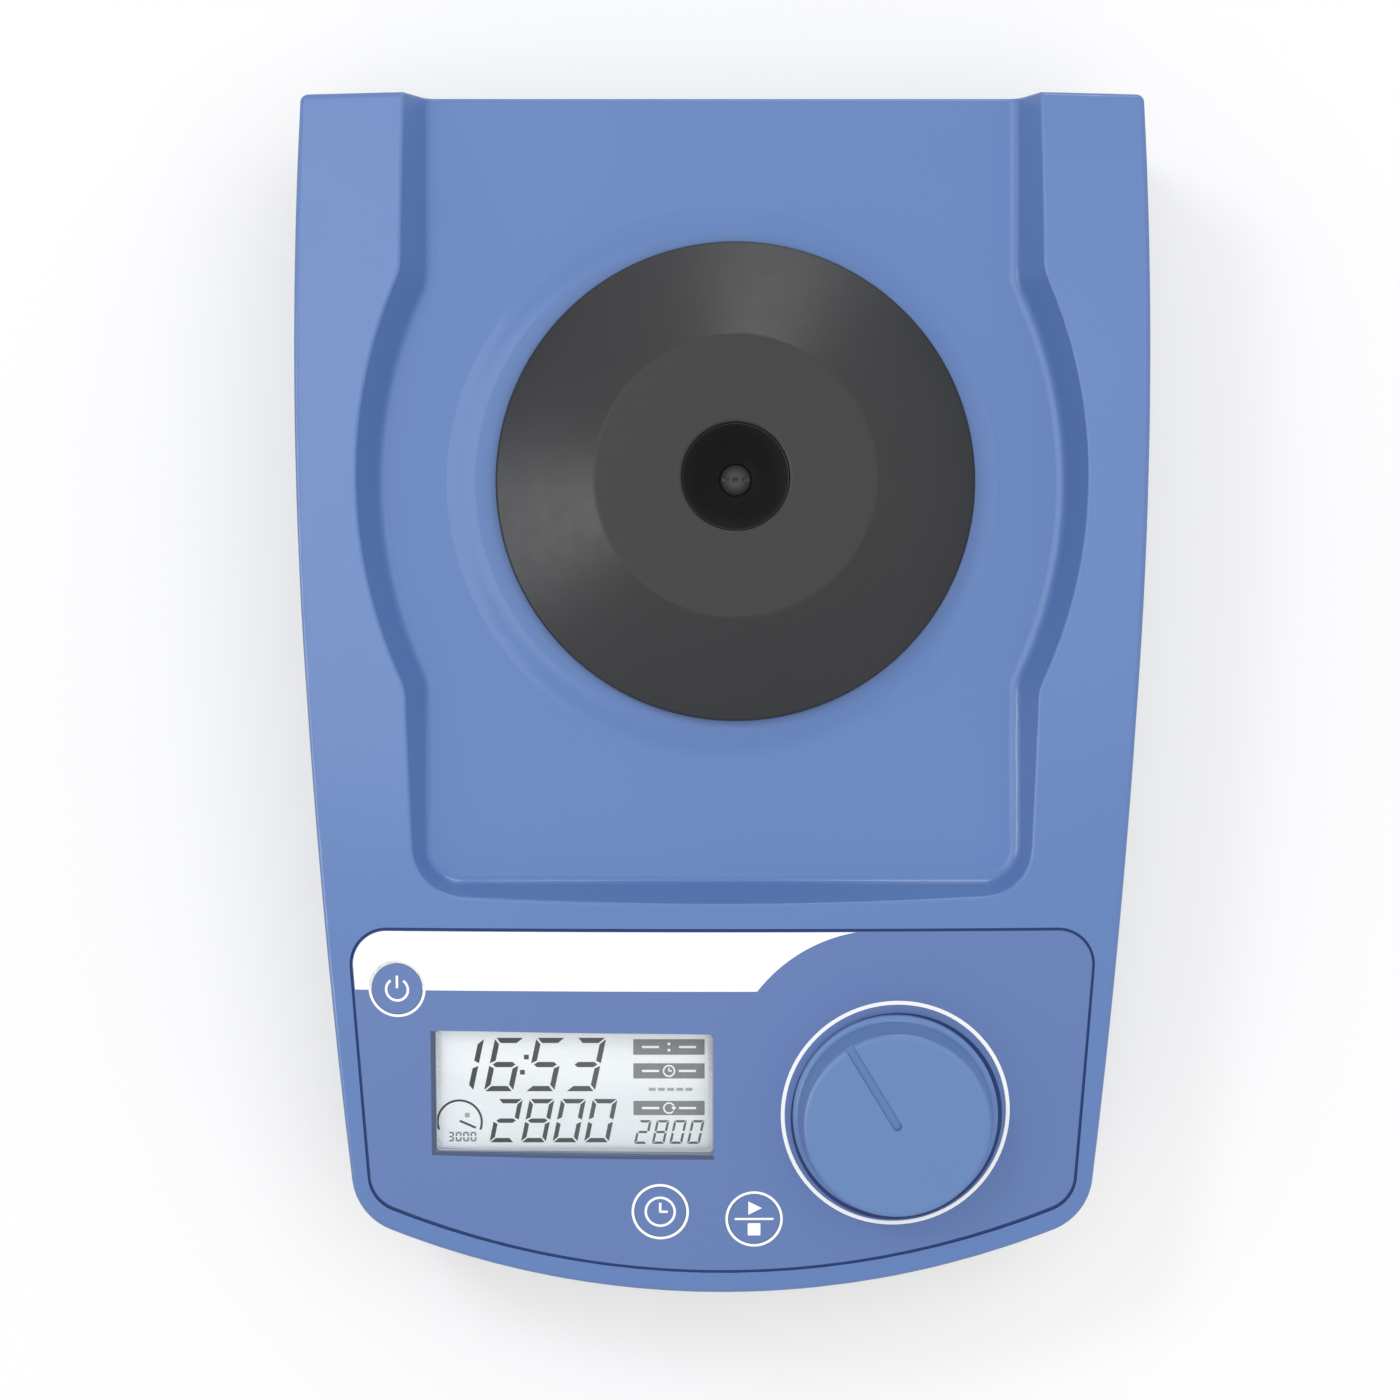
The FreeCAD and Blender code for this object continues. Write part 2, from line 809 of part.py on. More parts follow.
# Four posts under the panel, or the screw holes in them
def on_posts(label, radius, rise):
    body = new_body(label)
    plan = circles(body, label + "_plan", PANEL_POSTS, radius, "-panel_board_depth")
    pad(body, plan, rise)
    return place(body, **on_panel())


# The upper housing is one moulding: crowned shell, drafted recess with soft bulges,
# raised collar, six screw columns and four posts for the panel board
def make_upper_housing(openings):
    form = housing_slab("housing_form", "0", PARTING_TOP, "crown_height")
    rear = upright_near("rear_half_width", "rear_reach", 1)
    round_edges(form, "rear_corners", "rear_corner_radius", rear)
    crown_cut(form, "crown")
    recess = sketch(form, "recess_plan", lift="recess_height")
    recess_outline(recess)
    pocket(form, recess, "(crown_height - recess_height) * 1.5", "recess_draft", back=True)
    round_edges(form, "bulge_blends", "bulge_blend", bulge_corner)
    round_edges(form, "recess_floor_fillet", "recess_floor_radius", floor_edges)
    round_edges(form, "top_edge", "top_edge_radius", crown_edges(True))
    round_edges(form, "recess_rim", "recess_rim_radius", crown_edges(False))
    collar = sketch(form, "collar", "XZ_Plane", lift="-drive_y")
    bore = "(neck_radius + eccentricity + neck_gap)"
    slope = "(collar_foot_radius - collar_top_radius)"
    outline(collar, [
        (bore, "recess_height - wall / 2"),
        ("collar_foot_radius", "recess_height - wall / 2"),
        ("collar_foot_radius", "recess_height"),
        (f"collar_foot_radius - {slope} / 4", "recess_height + collar_rise * collar_bend", "arc"),
        (f"collar_foot_radius - {slope} / 2", "recess_height + collar_rise / 2"),
        (f"collar_top_radius + {slope} / 4", "recess_height + collar_rise * (1 - collar_bend)", "arc"),
        ("collar_top_radius", "recess_height + collar_rise"),
        (f"{bore} + lip_width", "recess_height + collar_rise"),
        (f"{bore} + lip_width", "recess_height + collar_rise + lip_rise"),
        (bore, "recess_height + collar_rise + lip_rise"),
    ])
    turn_round(form, collar)
    hole = sketch(form, "neck_hole")
    circle(hole, "0", "drive_y", bore)
    pocket(form, hole, "crown_height", back=True)

    cavity = housing_slab("housing_cavity", "wall", "parting_height", "crown_height")
    crown_cut(cavity, "cavity_crown", "wall")
    under = sketch(cavity, "cavity_recess", lift="recess_height - wall")
    slope = "(recess_draft * 1 deg)"
    recess_outline(under, f"wall * (1 - sin{slope}) / cos{slope}")
    pocket(cavity, under, "(crown_height - recess_height + wall) * 1.5", "recess_draft", back=True)
    columns = circles(cavity, "columns", COLUMNS, "column_radius", "parting_height")
    pocket(cavity, columns, "crown_height", back=True)
    shafts = circles(cavity, "column_holes", COLUMNS, HOLE, "parting_height")
    pad(cavity, shafts, "screw_length + screw_seat - parting_height + tip_gap")

    inlet_hole = turned("inlet_hole", [
        ("0", "-inlet_length"),
        ("inlet_radius + inlet_gap", "-inlet_length"),
        ("inlet_radius + inlet_gap", "-inlet_flange_rise"),
        ("inlet_flange + inlet_gap", "-inlet_flange_rise"),
        ("inlet_flange + inlet_gap", "inlet_length"),
        ("0", "inlet_length"),
    ], "inlet_x", "rear_reach", "inlet_z", "-90")

    shell = combined("Part::Cut", "housing_shell", form, cavity)
    posts = on_posts("panel_posts", "panel_post_radius", "panel_board_depth")
    posted = combined("Part::Fuse", "housing_with_posts", shell, posts)
    taps = on_posts("panel_taps", "panel_screw_radius + screw_gap", "panel_screw_length - panel_board + tip_gap")
    tapped = combined("Part::Cut", "housing_with_taps", posted, taps)
    bedded = combined("Part::Cut", "housing_with_bed", tapped, foil_slab("foil_bed", "foil_gap"))
    opened = combined("Part::Cut", "housing_with_openings", bedded, openings)
    keep(combined("Part::Cut", "upper_housing", opened, inlet_hole))


def make_tray():
    body = housing_slab("base_tray", "tray_inset", "parting_height", "parting_height - tray_bottom",
                        "-tray_draft", True)

    def bottom(edge):
        box = edge.BoundBox
        return abs(box.ZMax - amount("tray_bottom")) < 0.01
    round_edges(body, "tray_edge", "tray_edge_radius", bottom)
    inside = sketch(body, "tray_inside", lift="parting_height")
    housing_outline(inside, "tray_wall")
    pocket(body, inside, f"parting_height - {FLOOR_TOP}")

    def inner(edge):
        box = edge.BoundBox
        upright = box.ZLength > 3 * max(box.XLength, box.YLength)
        in_front = box.Center.y < amount("nose_corner_y + 2 * tray_wall")
        return upright and in_front and box.ZMin > amount("tray_bottom + tray_floor / 2")
    round_edges(body, "tray_inner_corners", "nose_corner_radius - tray_wall", inner)
    frame_holes = [(x, f"drive_y + ({y})") for x, y in FRAME_HOLES]
    bosses = [
        ("column_bosses", COLUMNS, "column_boss_radius", f"{PARTING_TOP} - {FLOOR_TOP}"),
        ("foot_bosses", FEET, "boss_radius", "foot_boss_rise"),
        ("frame_bosses", frame_holes, "boss_radius", f"frame_bottom - {FLOOR_TOP}"),
        ("board_bosses", BOARD_HOLES, "board_boss_radius", f"board_height - {FLOOR_TOP}"),
    ]
    for name, spots, radius, rise in bosses:
        pad(body, circles(body, name, spots, radius, FLOOR_TOP), rise)
    counterbores = circles(body, "screw_counterbores", COLUMNS, "screw_head_radius + screw_gap", "0")
    pocket(body, counterbores, "screw_seat", back=True)
    pocket(body, circles(body, "screw_holes", COLUMNS, HOLE, "0"), "parting_height * 1.2", back=True)
    beds = circles(body, "foot_beds", FEET, "foot_radius + foot_gap", "0")
    pocket(body, beds, "tray_bottom + foot_sink", back=True)
    foot_holes = circles(body, "foot_holes", FEET, HOLE, "0")
    pocket(body, foot_holes, f"{FLOOR_TOP} + foot_boss_rise", back=True)
    frame_taps = circles(body, "frame_taps", frame_holes, "frame_screw_radius + screw_gap", "frame_bottom")
    pocket(body, frame_taps, "frame_screw_length - frame_plate + tip_gap")
    board_taps = circles(body, "board_taps", BOARD_HOLES, HOLE, "board_height")
    pocket(body, board_taps, "frame_screw_length - frame_plate")
    keep(place(body))


def make_gasket():
    outer = housing_slab("gasket_outer", "gasket_inset", "parting_height", "gasket_thickness")
    inner = housing_slab("gasket_inner", "gasket_inset + gasket_width", "parting_height", "gasket_thickness")
    keep(combined("Part::Cut", "housing_gasket", outer, inner))


# Screws in a group: the seat is under the head, the shank points down or, turned over, up
def make_screws(label, spots, shank, length, head, rise, up=False):
    sign = "-" if up else ""
    items = []
    for number, spot in enumerate(spots, start=1):
        items.append(turned(f"{label}_{number}", [
            ("0", f"{sign}(-({length}))"),
            (shank, f"{sign}(-({length}))"),
            (shank, "0"),
            (head, "0"),
            (head, f"{sign}({rise})"),
            ("0", f"{sign}({rise})"),
        ], **spot))
    keep(gathered(label, items))


def make_feet():
    items = []
    for number, (x, y) in enumerate(FEET, start=1):
        items.append(turned(f"foot_{number}", [
            (HOLE, "foot_counterbore_rise"),
            ("foot_counterbore", "foot_counterbore_rise"),
            ("foot_counterbore", "0"),
            ("foot_radius - foot_edge", "0"),
            ("foot_radius", "foot_edge"),
            ("foot_radius", "foot_rise"),
            (HOLE, "foot_rise"),
        ], x, y))
    keep(gathered("rubber_feet", items))


def make_drive_frame():
    body = new_body("drive_frame")
    plate = sketch(body, "frame_plate_plan")
    rectangle(plate, "-frame_half", "frame_half", "-frame_half", "frame_half")
    pad(body, plate, "frame_plate")
    round_edges(body, "frame_corners", "frame_corner", lambda edge: edge.BoundBox.ZLength > 1)
    tube = sketch(body, "bearing_tube")
    circle(tube, "0", "0", "tube_radius")
    pad(body, tube, "tube_top - frame_bottom")
    post = sketch(body, "idler_post")
    circle(post, "idler_reach", "0", "idler_post_radius")
    repeat_round(body, pad(body, post, "idler_post_top - frame_bottom"), "3")
    bore = sketch(body, "bearing_bore", lift="bearing_low - frame_bottom")
    circle(bore, "0", "0", "bearing_radius + bearing_bore_gap")
    pocket(body, bore, "tube_top", back=True)
    lip = sketch(body, "bearing_lip")
    circle(lip, "0", "0", "frame_lip_radius")
    pocket(body, lip, "tube_top", back=True)
    seat = sketch(body, "idler_seat", lift="idler_post_top - frame_bottom")
    circle(seat, "idler_reach", "0", "idler_bearing_radius + bearing_bore_gap")
    repeat_round(body, pocket(body, seat, "idler_bearing_width"), "3")
    relief = sketch(body, "idler_relief", lift="idler_post_top - frame_bottom")
    circle(relief, "idler_reach", "0", "idler_shoulder")
    repeat_round(body, pocket(body, relief, "idler_bearing_width * 1.5"), "3")
    holes = circles(body, "frame_holes", FRAME_HOLES, "frame_screw_radius + screw_gap", "0")
    pocket(body, holes, "frame_plate", back=True)
    keep(place(body, "0", "drive_y", "frame_bottom"))


# A ball bearing seen as one ring, with the gap between its races sunk on both faces
def bearing(label, bore, outer, low, width, x="0", y="drive_y"):
    return turned(label, [
        (bore, "0"),
        (f"{bore} + race_width / 2", "0"),
        (f"{bore} + race_width / 2", "race_sink"),
        (f"{outer} - race_width / 2", "race_sink"),
        (f"{outer} - race_width / 2", "0"),
        (outer, "0"),
        (outer, width),
        (f"{outer} - race_width / 2", width),
        (f"{outer} - race_width / 2", f"{width} - race_sink"),
        (f"{bore} + race_width / 2", f"{width} - race_sink"),
        (f"{bore} + race_width / 2", width),
        (bore, width),
    ], x, y, low)


def idler_spots():
    for turn in (0, 120, 240):
        yield f"idler_reach * cos({turn} * 1 deg)", f"drive_y + idler_reach * sin({turn} * 1 deg)"


def make_bearings():
    bore = "(shaft_radius + bearing_bore_gap)"
    keep(bearing("lower_bearing", bore, "bearing_radius", "bearing_low", "bearing_width"))
    keep(bearing("upper_bearing", bore, "bearing_radius", "bearing_high", "bearing_width"))
    keep(bearing("eccentric_bearing", bore.replace("shaft", "pin"), "bearing_radius",
                 "platform_height - platform_hub_drop", "bearing_width", "eccentricity"))
    keep(turned("bearing_spacer", [
        ("spacer_bore", "bearing_low + bearing_width"),
        ("bearing_radius", "bearing_low + bearing_width"),
        ("bearing_radius", "bearing_high"),
        ("spacer_bore", "bearing_high"),
    ], y="drive_y"))
    low_bore = "(idler_pin_radius + bearing_bore_gap)"
    high_bore = "(idler_pin_radius + idler_pin_gap)"
    low = []
    high = []
    for number, (x, y) in enumerate(idler_spots(), start=1):
        low.append(bearing(f"frame_bearing_{number}", low_bore, "idler_bearing_radius",
                           "idler_post_top - idler_bearing_width", "idler_bearing_width", x, y))
        high.append(bearing(f"platform_bearing_{number}", high_bore, "idler_bearing_radius",
                            "platform_height", "idler_bearing_width", f"{x} + eccentricity", y))
    keep(gathered("frame_idler_bearings", low))
    keep(gathered("platform_idler_bearings", high))


def make_stator():
    core = new_body("stator_core")
    yoke = sketch(core, "stator_yoke_plan", lift="stack_low")
    circle(yoke, "0", "0", "tube_radius + coil_gap")
    circle(yoke, "0", "0", "tube_radius + stator_yoke")
    pad(core, yoke, "stack_rise")
    tooth = sketch(core, "stator_tooth", lift="stack_low")
    root = "tube_radius + stator_yoke * 0.7"
    tip = "sqrt(stator_radius^2 - shoe_half^2)"
    outline(tooth, [
        (root, "-tooth_half"),
        ("shoe_inner", "-tooth_half"),
        (tip, "-shoe_half"),
        ("stator_radius", "0", "arc"),
        (tip, "shoe_half"),
        ("shoe_inner", "tooth_half"),
        (root, "tooth_half"),
    ])
    repeat_round(core, pad(core, tooth, "stack_rise"), "tooth_count")
    keep(place(core, "0", "drive_y"))

    coils = new_body("stator_windings")
    wound = sketch(coils, "coil", "YZ_Plane", lift="coil_inner")
    inner = "(tooth_half + coil_gap)"
    outer = f"({inner} + coil_build)"
    for half, spread in ((outer, "coil_gap + coil_build"), (inner, "coil_gap")):
        rectangle(wound, f"-{half}", half, f"stack_low - ({spread})", f"stack_low + stack_rise + {spread}")
    repeat_round(coils, pad(coils, wound, "coil_length"), "tooth_count")
    keep(place(coils, "0", "drive_y"))


BELL_INNER = "(stator_radius + air_gap + magnet_build)"
BELL_OUTER = f"({BELL_INNER} + bell_wall)"
BELL_TOP = "(tube_top + bell_lift + bell_plate)"
HUB_TOP = f"({BELL_TOP} + hub_rise)"


def make_rotor():
    bell = turned("rotor_bell", [
        ("shaft_radius", "tube_top + bell_hub_gap"),
        ("bell_hub_radius", "tube_top + bell_hub_gap"),
        ("bell_hub_radius", "tube_top + bell_lift"),
        (BELL_INNER, "tube_top + bell_lift"),
        (BELL_INNER, "bell_low"),
        (BELL_OUTER, "bell_low"),
        (BELL_OUTER, BELL_TOP),
        ("shaft_radius", BELL_TOP),
    ], y="drive_y")
    spots = [("-weight_screw_x", "weight_screw_y"), ("-weight_screw_x", "-weight_screw_y")]
    pocket(bell, circles(bell, "bell_holes", spots, HOLE, BELL_TOP), "bell_plate * 2")
    keep(bell)

    magnets = new_body("rotor_magnets")
    magnet = sketch(magnets, "magnet", lift="magnet_low")
    inner = "(stator_radius + air_gap)"
    outline(magnet, [
        (f"sqrt({inner}^2 - magnet_half^2)", "-magnet_half"),
        (f"sqrt({BELL_INNER}^2 - magnet_half^2)", "-magnet_half"),
        (BELL_INNER, "0", "arc"),
        (f"sqrt({BELL_INNER}^2 - magnet_half^2)", "magnet_half"),
        (f"sqrt({inner}^2 - magnet_half^2)", "magnet_half"),
        (inner, "0", "arc"),
    ])
    repeat_round(magnets, pad(magnets, magnet, "magnet_rise"), "magnet_count")
    keep(place(magnets, "0", "drive_y"))

    clip_top = "(bearing_low - circlip_gap)"
    keep(turned("drive_shaft", [
        ("0", "shaft_bottom"),
        ("shaft_radius", "shaft_bottom"),
        ("shaft_radius", f"{clip_top} - circlip_width"),
        ("circlip_bore", f"{clip_top} - circlip_width"),
        ("circlip_bore", clip_top),
        ("shaft_radius", clip_top),
        ("shaft_radius", f"{HUB_TOP} - hub_cap"),
        ("0", f"{HUB_TOP} - hub_cap"),
    ], y="drive_y"))
    keep(turned("shaft_circlip", [
        ("circlip_bore", f"{clip_top} - circlip_width"),
        ("circlip_radius", f"{clip_top} - circlip_width"),
        ("circlip_radius", clip_top),
        ("circlip_bore", clip_top),
    ], y="drive_y"))

    hub = turned("eccentric_hub", [
        ("shaft_radius", BELL_TOP),
        ("hub_radius", BELL_TOP),
        ("hub_radius", HUB_TOP),
        ("0", HUB_TOP),
        ("0", f"{HUB_TOP} - hub_cap"),
        ("shaft_radius", f"{HUB_TOP} - hub_cap"),
    ], y="drive_y")
    pin = sketch(hub, "eccentric_pin", lift=HUB_TOP)
    circle(pin, "eccentricity", "0", "pin_radius")
    pad(hub, pin, "pin_rise")
    keep(hub)

    weight = new_body("counterweight")
    half = sketch(weight, "weight_plan", lift=BELL_TOP)
    bore = "(hub_radius + weight_gap)"
    outline(half, [
        ("0", bore),
        ("0", "weight_radius"),
        ("-weight_radius", "0", "arc"),
        ("0", "-weight_radius"),
        ("0", f"-{bore}"),
        (f"-{bore}", "0", "arc"),
    ])
    pad(weight, half, "weight_rise")
    pocket(weight, circles(weight, "weight_holes", spots, HOLE, BELL_TOP), "weight_rise", back=True)
    keep(place(weight, "0", "drive_y"))
    seats = [{"x": x, "y": f"drive_y + ({y})", "z": f"{BELL_TOP} + weight_rise"} for x, y in spots]
    make_screws("weight_screws", seats, "screw_radius", "weight_screw_length", "screw_head_radius",
                "weight_screw_rise")


# The platform runs on the eccentric pin: a three-armed plate, its hub and a hollow neck
def make_platform():
    body = new_body("shaking_platform")
    disc = sketch(body, "platform_disc", lift="platform_height")
    circle(disc, "0", "0", "platform_disc_radius")
    pad(body, disc, "platform_plate")
    arm = sketch(body, "platform_arm", lift="platform_height")
    outline(arm, [
        ("idler_reach", "-lobe_radius"),
        ("idler_reach + lobe_radius", "0", "arc"),
        ("idler_reach", "lobe_radius"),
        ("platform_disc_radius / 2", "lobe_radius * 1.5"),
        ("platform_disc_radius / 2", "-lobe_radius * 1.5"),
    ])
    repeat_round(body, pad(body, arm, "platform_plate"), "3")
    hub = sketch(body, "platform_hub", lift="platform_height - platform_hub_drop")
    circle(hub, "0", "0", "platform_hub_radius")
    pad(body, hub, "platform_hub_drop")
    neck = sketch(body, "platform_neck", lift="platform_height + platform_plate")
    circle(neck, "0", "0", "neck_radius")
    pad(body, neck, "neck_top - platform_height - platform_plate")
    seat = sketch(body, "eccentric_seat", lift="platform_height - platform_hub_drop")
    circle(seat, "0", "0", "bearing_radius + bearing_bore_gap")
    pocket(body, seat, "bearing_width", back=True)
    hollow = sketch(body, "neck_hollow_plan", lift="neck_top")
    circle(hollow, "0", "0", "neck_radius - neck_wall")
    circle(hollow, "0", "0", "neck_boss_radius")
    pocket(body, hollow, "neck_hollow")
    tap = sketch(body, "centre_tap", lift="neck_top")
    circle(tap, "0", "0", HOLE)
    pocket(body, tap, "centre_hole_depth")
    bore = sketch(body, "idler_bore", lift="platform_height")
    circle(bore, "idler_reach", "0", "idler_bearing_radius + bearing_bore_gap")
    repeat_round(body, pocket(body, bore, "platform_plate", back=True), "3")
    keep(place(body, "eccentricity", "drive_y"))


def make_idler_cranks():
    low = "idler_post_top - idler_bearing_width + idler_pin_stop"
    disc_low = "(idler_post_top + idler_disc_lift)"
    disc_top = f"({disc_low} + idler_disc_rise)"
    for number, (x, y) in enumerate(idler_spots(), start=1):
        crank = turned(f"idler_crank_{number}", [
            ("0", low),
            ("idler_pin_radius", low),
            ("idler_pin_radius", "idler_post_top + idler_shoulder_gap"),
            ("idler_shoulder", "idler_post_top + idler_shoulder_gap"),
            ("idler_shoulder", disc_low),
            ("idler_disc_radius", disc_low),
            ("idler_disc_radius", disc_top),
            ("0", disc_top),
        ], x, y)
        pin = sketch(crank, f"idler_pin_{number}", lift=disc_top)
        circle(pin, "eccentricity", "0", "idler_pin_radius")
        pad(crank, pin, f"platform_height + platform_plate - idler_pin_stop - {disc_top}")
        keep(crank)


def make_attachment():
    plate_top = "(neck_top + carrier_plate)"
    keep(turned("attachment_carrier", [
        (HOLE, "neck_top"),
        ("carrier_radius", "neck_top"),
        ("carrier_radius", plate_top),
        (HOLE, plate_top),
    ], "eccentricity", "drive_y"))
    cone = turned("touch_attachment", [
        ("cup_floor_radius", plate_top),
        ("carrier_radius + carrier_gap", plate_top),
        ("carrier_radius + carrier_gap", "cone_low"),
        ("cone_radius", "cone_low"),
        ("cone_radius", "cone_low + cone_edge"),
        ("cone_flat_radius", "cone_top"),
        ("cup_radius", "cone_top"),
        ("cup_waist_radius", f"{plate_top} + cup_waist"),
        ("cup_waist_radius * 0.91", f"{plate_top} + cup_waist * 0.4", "arc"),
    ], "eccentricity", "drive_y")

    def ring_at(radius, height):
        def wanted(edge):
            box = edge.BoundBox
            level = abs(box.ZMin - amount(height)) < 0.01 and box.ZLength < 0.01
            return level and abs(box.XLength / 2 - amount(radius)) < 0.05
        return wanted
    shoulder = ring_at("cone_flat_radius", "cone_top")
    rim = ring_at("cone_radius", "cone_low + cone_edge")
    round_edges(cone, "cone_shoulder", "cone_edge_radius", lambda edge: shoulder(edge) or rim(edge))
    round_edges(cone, "cup_lip", "cup_lip_radius", ring_at("cup_radius", "cone_top"))
    keep(cone)
    dome = "(centre_head_rise - centre_head_edge)"
    bend_x = "centre_head_flat + (centre_screw_head - centre_head_flat) * sqrt(0.5)"
    screw = turned("centre_screw", [
        ("0", "-centre_screw_length"),
        ("screw_radius", "-centre_screw_length"),
        ("screw_radius", "0"),
        ("centre_screw_head", "0"),
        ("centre_screw_head", "centre_head_edge"),
        (bend_x, f"centre_head_edge + {dome} * sqrt(0.5)", "arc"),
        ("centre_head_flat", "centre_head_rise"),
        ("0", "centre_head_rise"),
    ], "eccentricity", "drive_y", plate_top)
    slot = sketch(screw, "centre_slot", lift="centre_head_rise")
    rectangle(slot, "-centre_screw_head", "centre_screw_head", "-centre_slot_width / 2", "centre_slot_width / 2")
    pocket(screw, slot, "centre_slot_depth")
    keep(screw)


def make_foil(openings):
    form = foil_slab("foil_form", "0")
    crown_cut(form, "foil_face")
    keep(combined("Part::Cut", "control_foil", form, openings))


# What lies under the crowned surface, to finish a key flush with the foil
def crown_block():
    body = new_body("crown_block")
    plan = sketch(body, "crown_block_plan")
    rectangle(plan, "-widest_half_width", "widest_half_width", "-nose_reach", "foil_rear_y + foil_corner")
    pad(body, plan, "crown_height * 1.2")
    crown_cut(body, "crown_block_face")
    return body


def make_keys():
    block = crown_block()
    stem_end = "-(panel_board_depth - dome_rise - dome_gap - key_travel)"
    domes = []
    for name, label in (("power", "power_key"), ("time", "time_key"), ("start", "start_stop_key")):
        x = f"{name}_key_x"
        up = f"{name}_key_up"
        lean = f"abs({x}) / crown_radius * key_flange_radius"
        flange_top = f"(-({panel_drop(x, up)} + wall + key_flange_gap + {lean}))"
        form = turned(label + "_form", [
            ("0", stem_end),
            ("key_stem_radius", stem_end),
            ("key_stem_radius", f"{flange_top} - key_flange"),
            ("key_flange_radius", f"{flange_top} - key_flange"),
            ("key_flange_radius", flange_top),
            ("key_radius", flange_top),
            ("key_radius", "key_blank"),
            ("0", "key_blank"),
        ], **on_panel(x, up))
        keep(combined("Part::Common", label, form, block))
        domes.append(turned(f"{name}_dome", [
            ("0", "0"),
            ("dome_radius", "0"),
            ("dome_radius * 0.8", "dome_rise * 0.6", "arc"),
            ("dome_radius / 3", "dome_rise"),
            ("0", "dome_rise"),
        ], **on_panel(x, up, "-panel_board_depth")))
    keep(gathered("key_domes", domes))


def make_panel_board():
    body = new_body("panel_board")
    plan = sketch(body, "panel_board_plan", lift="-panel_board_depth - panel_board")
    outline(plan, [
        ("panel_board_half_x", "panel_board_rear"),
        ("-panel_board_half_x", "panel_board_rear"),
        ("-panel_board_half_x", "panel_board_step"),
        ("-panel_board_front_half", "panel_board_step"),
        ("-panel_board_front_half", "panel_board_front"),
        ("panel_board_front_half", "panel_board_front"),
        ("panel_board_front_half", "panel_board_step"),
        ("panel_board_half_x", "panel_board_step"),
    ])
    pad(body, plan, "panel_board")
    hole = "panel_screw_radius + screw_gap"
    holes = circles(body, "panel_board_holes", PANEL_POSTS, hole, "-panel_board_depth")
    pocket(body, holes, "panel_board")
    keep(place(body, **on_panel()))
    seats = [on_panel(x, up, "-panel_board_depth - panel_board") for x, up in PANEL_POSTS]
    make_screws("panel_screws", seats, "panel_screw_radius", "panel_screw_length", "panel_screw_head",
                "panel_screw_rise", up=True)


# A box with rounded upright edges, standing on a level of the sloping panel
def panel_box(label, left, right, front, rear, low, rise, corner):
    body = new_body(label)
    plan = sketch(body, label + "_plan", lift=low)
    rectangle(plan, left, right, front, rear)
    pad(body, plan, rise)
    tolerance = amount(corner) / 100
    round_edges(body, label + "_corners", corner,
                lambda edge: abs(edge.BoundBox.ZLength - edge.Length) < tolerance)
    return place(body, **on_panel())


def make_display():
    glass_low = "-(window_sink + window_plate)"
    frame_x = "(window_half_x + display_margin_x)"
    frame_y = "(window_half_y + display_margin_y)"
    keep(panel_box("display_module", f"window_x - {frame_x}", f"window_x + {frame_x}",
                   f"window_up - {frame_y}", f"window_up + {frame_y}",
                   "-panel_board_depth", f"panel_board_depth + ({glass_low})", "window_corner"))
    half_x = "(window_half_x - window_gap)"
    half_y = "(window_half_y - window_gap)"
    keep(panel_box("display_window", f"window_x - {half_x}", f"window_x + {half_x}",
                   f"window_up - {half_y}", f"window_up + {half_y}",
                   glass_low, "window_plate", "window_corner"))


